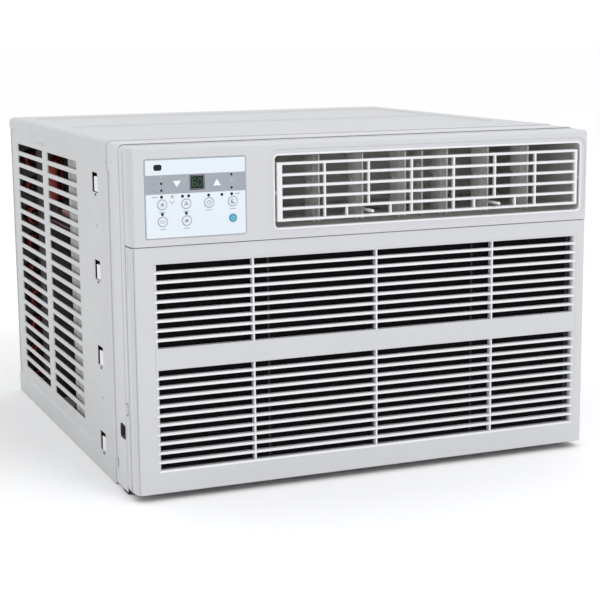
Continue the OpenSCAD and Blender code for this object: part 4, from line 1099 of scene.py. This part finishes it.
def louvre_grid():
    """Frame of six bars with uprights and two pivots."""
    m = Mesh()
    for z in BARS:
        m.rbox((196, 639), (1.0, 12.0), (z - 1.75, z + 1.75), 1.5, 4)
    for x in ((196, 203.4), (634.4, 639)):
        m.rbox(x, (1.05, 8.0), (BARS[0] - 1.6, BARS[-1] + 1.6), 1.3)

    def upright(x, low, high):
        m.rbox((x - 1.4, x + 1.4), (1.5, 7.0), (low, high), 0.8, 2)

    for i, x in enumerate(RIB_X):
        upright(x, BARS[1 if i in LEVER_RIBS else 0], BARS[-1])
        if i in LEVER_RIBS:
            upright(x - POST_STEP, BARS[0], BARS[1])
            upright(x + POST_STEP, BARS[0], BARS[1])
    for x in ((190.8, 197), (638, 644.2)):
        m.rod((x[0], TILT_Y, TILT_Z), (x[1], TILT_Y, TILT_Z), 2.5, 20)
    # Bars, uprights and pivots take the lighter white: a painted highlight
    piece("louvre_grid", m, "louvre", LIT_WHITE, ["louver_frame"])


def vane(i, x):
    """Upright vane with its pivot, its pin for the link bar and, in the middle ones, a finger lever."""
    body = f"vane_{i + 1}"
    m = Mesh()
    m.plate(VANE_OUTLINE, [], "x", x - 1, x + 1)
    m.rod((x, VANE_PIVOT_Y, 338.2), (x, VANE_PIVOT_Y, 434.3), 1.5, 14)
    m.rod((x, LINK_Y, 382), (x, LINK_Y, 393), 1.5, 14)
    # The blade takes the lightened vane plastic: painted light against the tunnel's shade
    piece(f"{body}_blade", m, body, VANE_LIGHTENED, [body], bevel=0.35)
    if i in LEVER_RIBS:
        m = Mesh()
        m.rbox((x - 2, x + 2), (-9.9, 24), (354.7, 358.3), 1.2)
        # The lever takes the lighter white: a painted highlight
        piece(f"{body}_lever", m, body, LIT_WHITE)


def link_bar(side, xs):
    """Bar that ties the pins of three vanes together."""
    m = Mesh()
    m.plate(rr((xs[0] - 6, xs[-1] + 6), (LINK_Y - 4, LINK_Y + 4), 3.9, 0, 6),
            [circle((x, LINK_Y), 1.55, 16) for x in xs], "z", 385.6, 389.4)
    body = f"vane_link_{side}"
    # The bar takes the lightened vane plastic: painted light against the tunnel's shade
    piece(f"link_{side}_bar", m, body, VANE_LIGHTENED, [body], bevel=0.3)


louvre_grid()
for rib, rib_x in enumerate(RIB_X):
    vane(rib, rib_x)
link_bar("left", RIB_X[:3])
link_bar("right", RIB_X[3:])

# ---- Coils ----

FIN_PITCH, FIN_HALF, FIN_WAVE, FIN_STEPS = 2.1, 0.11, 0.22, 8


def fin_pack(name, node, x, y, z):
    """Thin upright fins with a wavy face, pressed on the coil's tubes."""
    m = Mesh()
    n = int((x[1] - x[0]) / FIN_PITCH)
    for k in range(n + 1):
        middle = x[0] + 0.3 + k * (x[1] - x[0] - 0.6) / n
        wave = [(middle + (FIN_WAVE if s % 2 else -FIN_WAVE), y[0] + (y[1] - y[0]) * s / FIN_STEPS)
                for s in range(FIN_STEPS + 1)]
        ring = [(u - FIN_HALF, v) for u, v in wave] + [(u + FIN_HALF, v) for u, v in reversed(wave)]
        rows = m.loft([[(u, v, c) for u, v in ring] for c in z])
        for ids in rows:
            for s in range(FIN_STEPS):
                m.face((ids[s], ids[s + 1], ids[-2 - s], ids[-1 - s]))
    piece(name, m, "chassis", ALU, [node], angle=20)


fin_pack("condenser_fin_pack", "condenser_fins", (36, 624), (638, 682), (22, 432))
fin_pack("evaporator_fin_pack", "evaporator_fins", (36, 600), (56, 100), (30, 318))

# ---- Feet and screws ----

def feet():
    """Two rubber pads under the front."""
    m = Mesh()
    for x in ((3, 33), (BODY_W - 33, BODY_W - 3)):
        m.solid([[(u, v, z) for u, v in rr(x, (46, 70), 3, g, 5)]
                 for g, z in ((-0.9, 0.0), (-0.25, 0.2), (0, 0.8), (0, 3.3), (-0.25, 3.8), (-0.9, 3.98))])
    piece("feet_pads", m, "chassis", RUBBER, ["front_feet"])


SCREW_PROFILE = [(0, 680.2), (1.6, 681), (2.1, 682), (2.1, 687.7), (4.2, 687.72), (4.3, 688.1),
                 (3.9, 688.9), (3.0, 689.6), (1.8, 689.9), (0, 689.95)]


def screws():
    """Screws of the rear flange, with a dark cross on each head as painted shade of its recess."""
    m = Mesh()
    for x in SCREW_X:
        for z in SCREW_Z:
            m.lathe(x, z, SCREW_PROFILE, 24)
            # Flat dark cross on the head: painted shade of the cross recess
            m.mat = 1
            for w, h in ((4.2, 0.8), (0.8, 4.2)):
                m.rbox((x - w / 2, x + w / 2), (689.2, 689.99), (z - h / 2, z + h / 2), 0.1, 1)
            m.mat = 0
    piece("sleeve_screw_set", m, "chassis", [SCREW, DARK_AND_SHADE], ["sleeve_screws"])


feet()
screws()
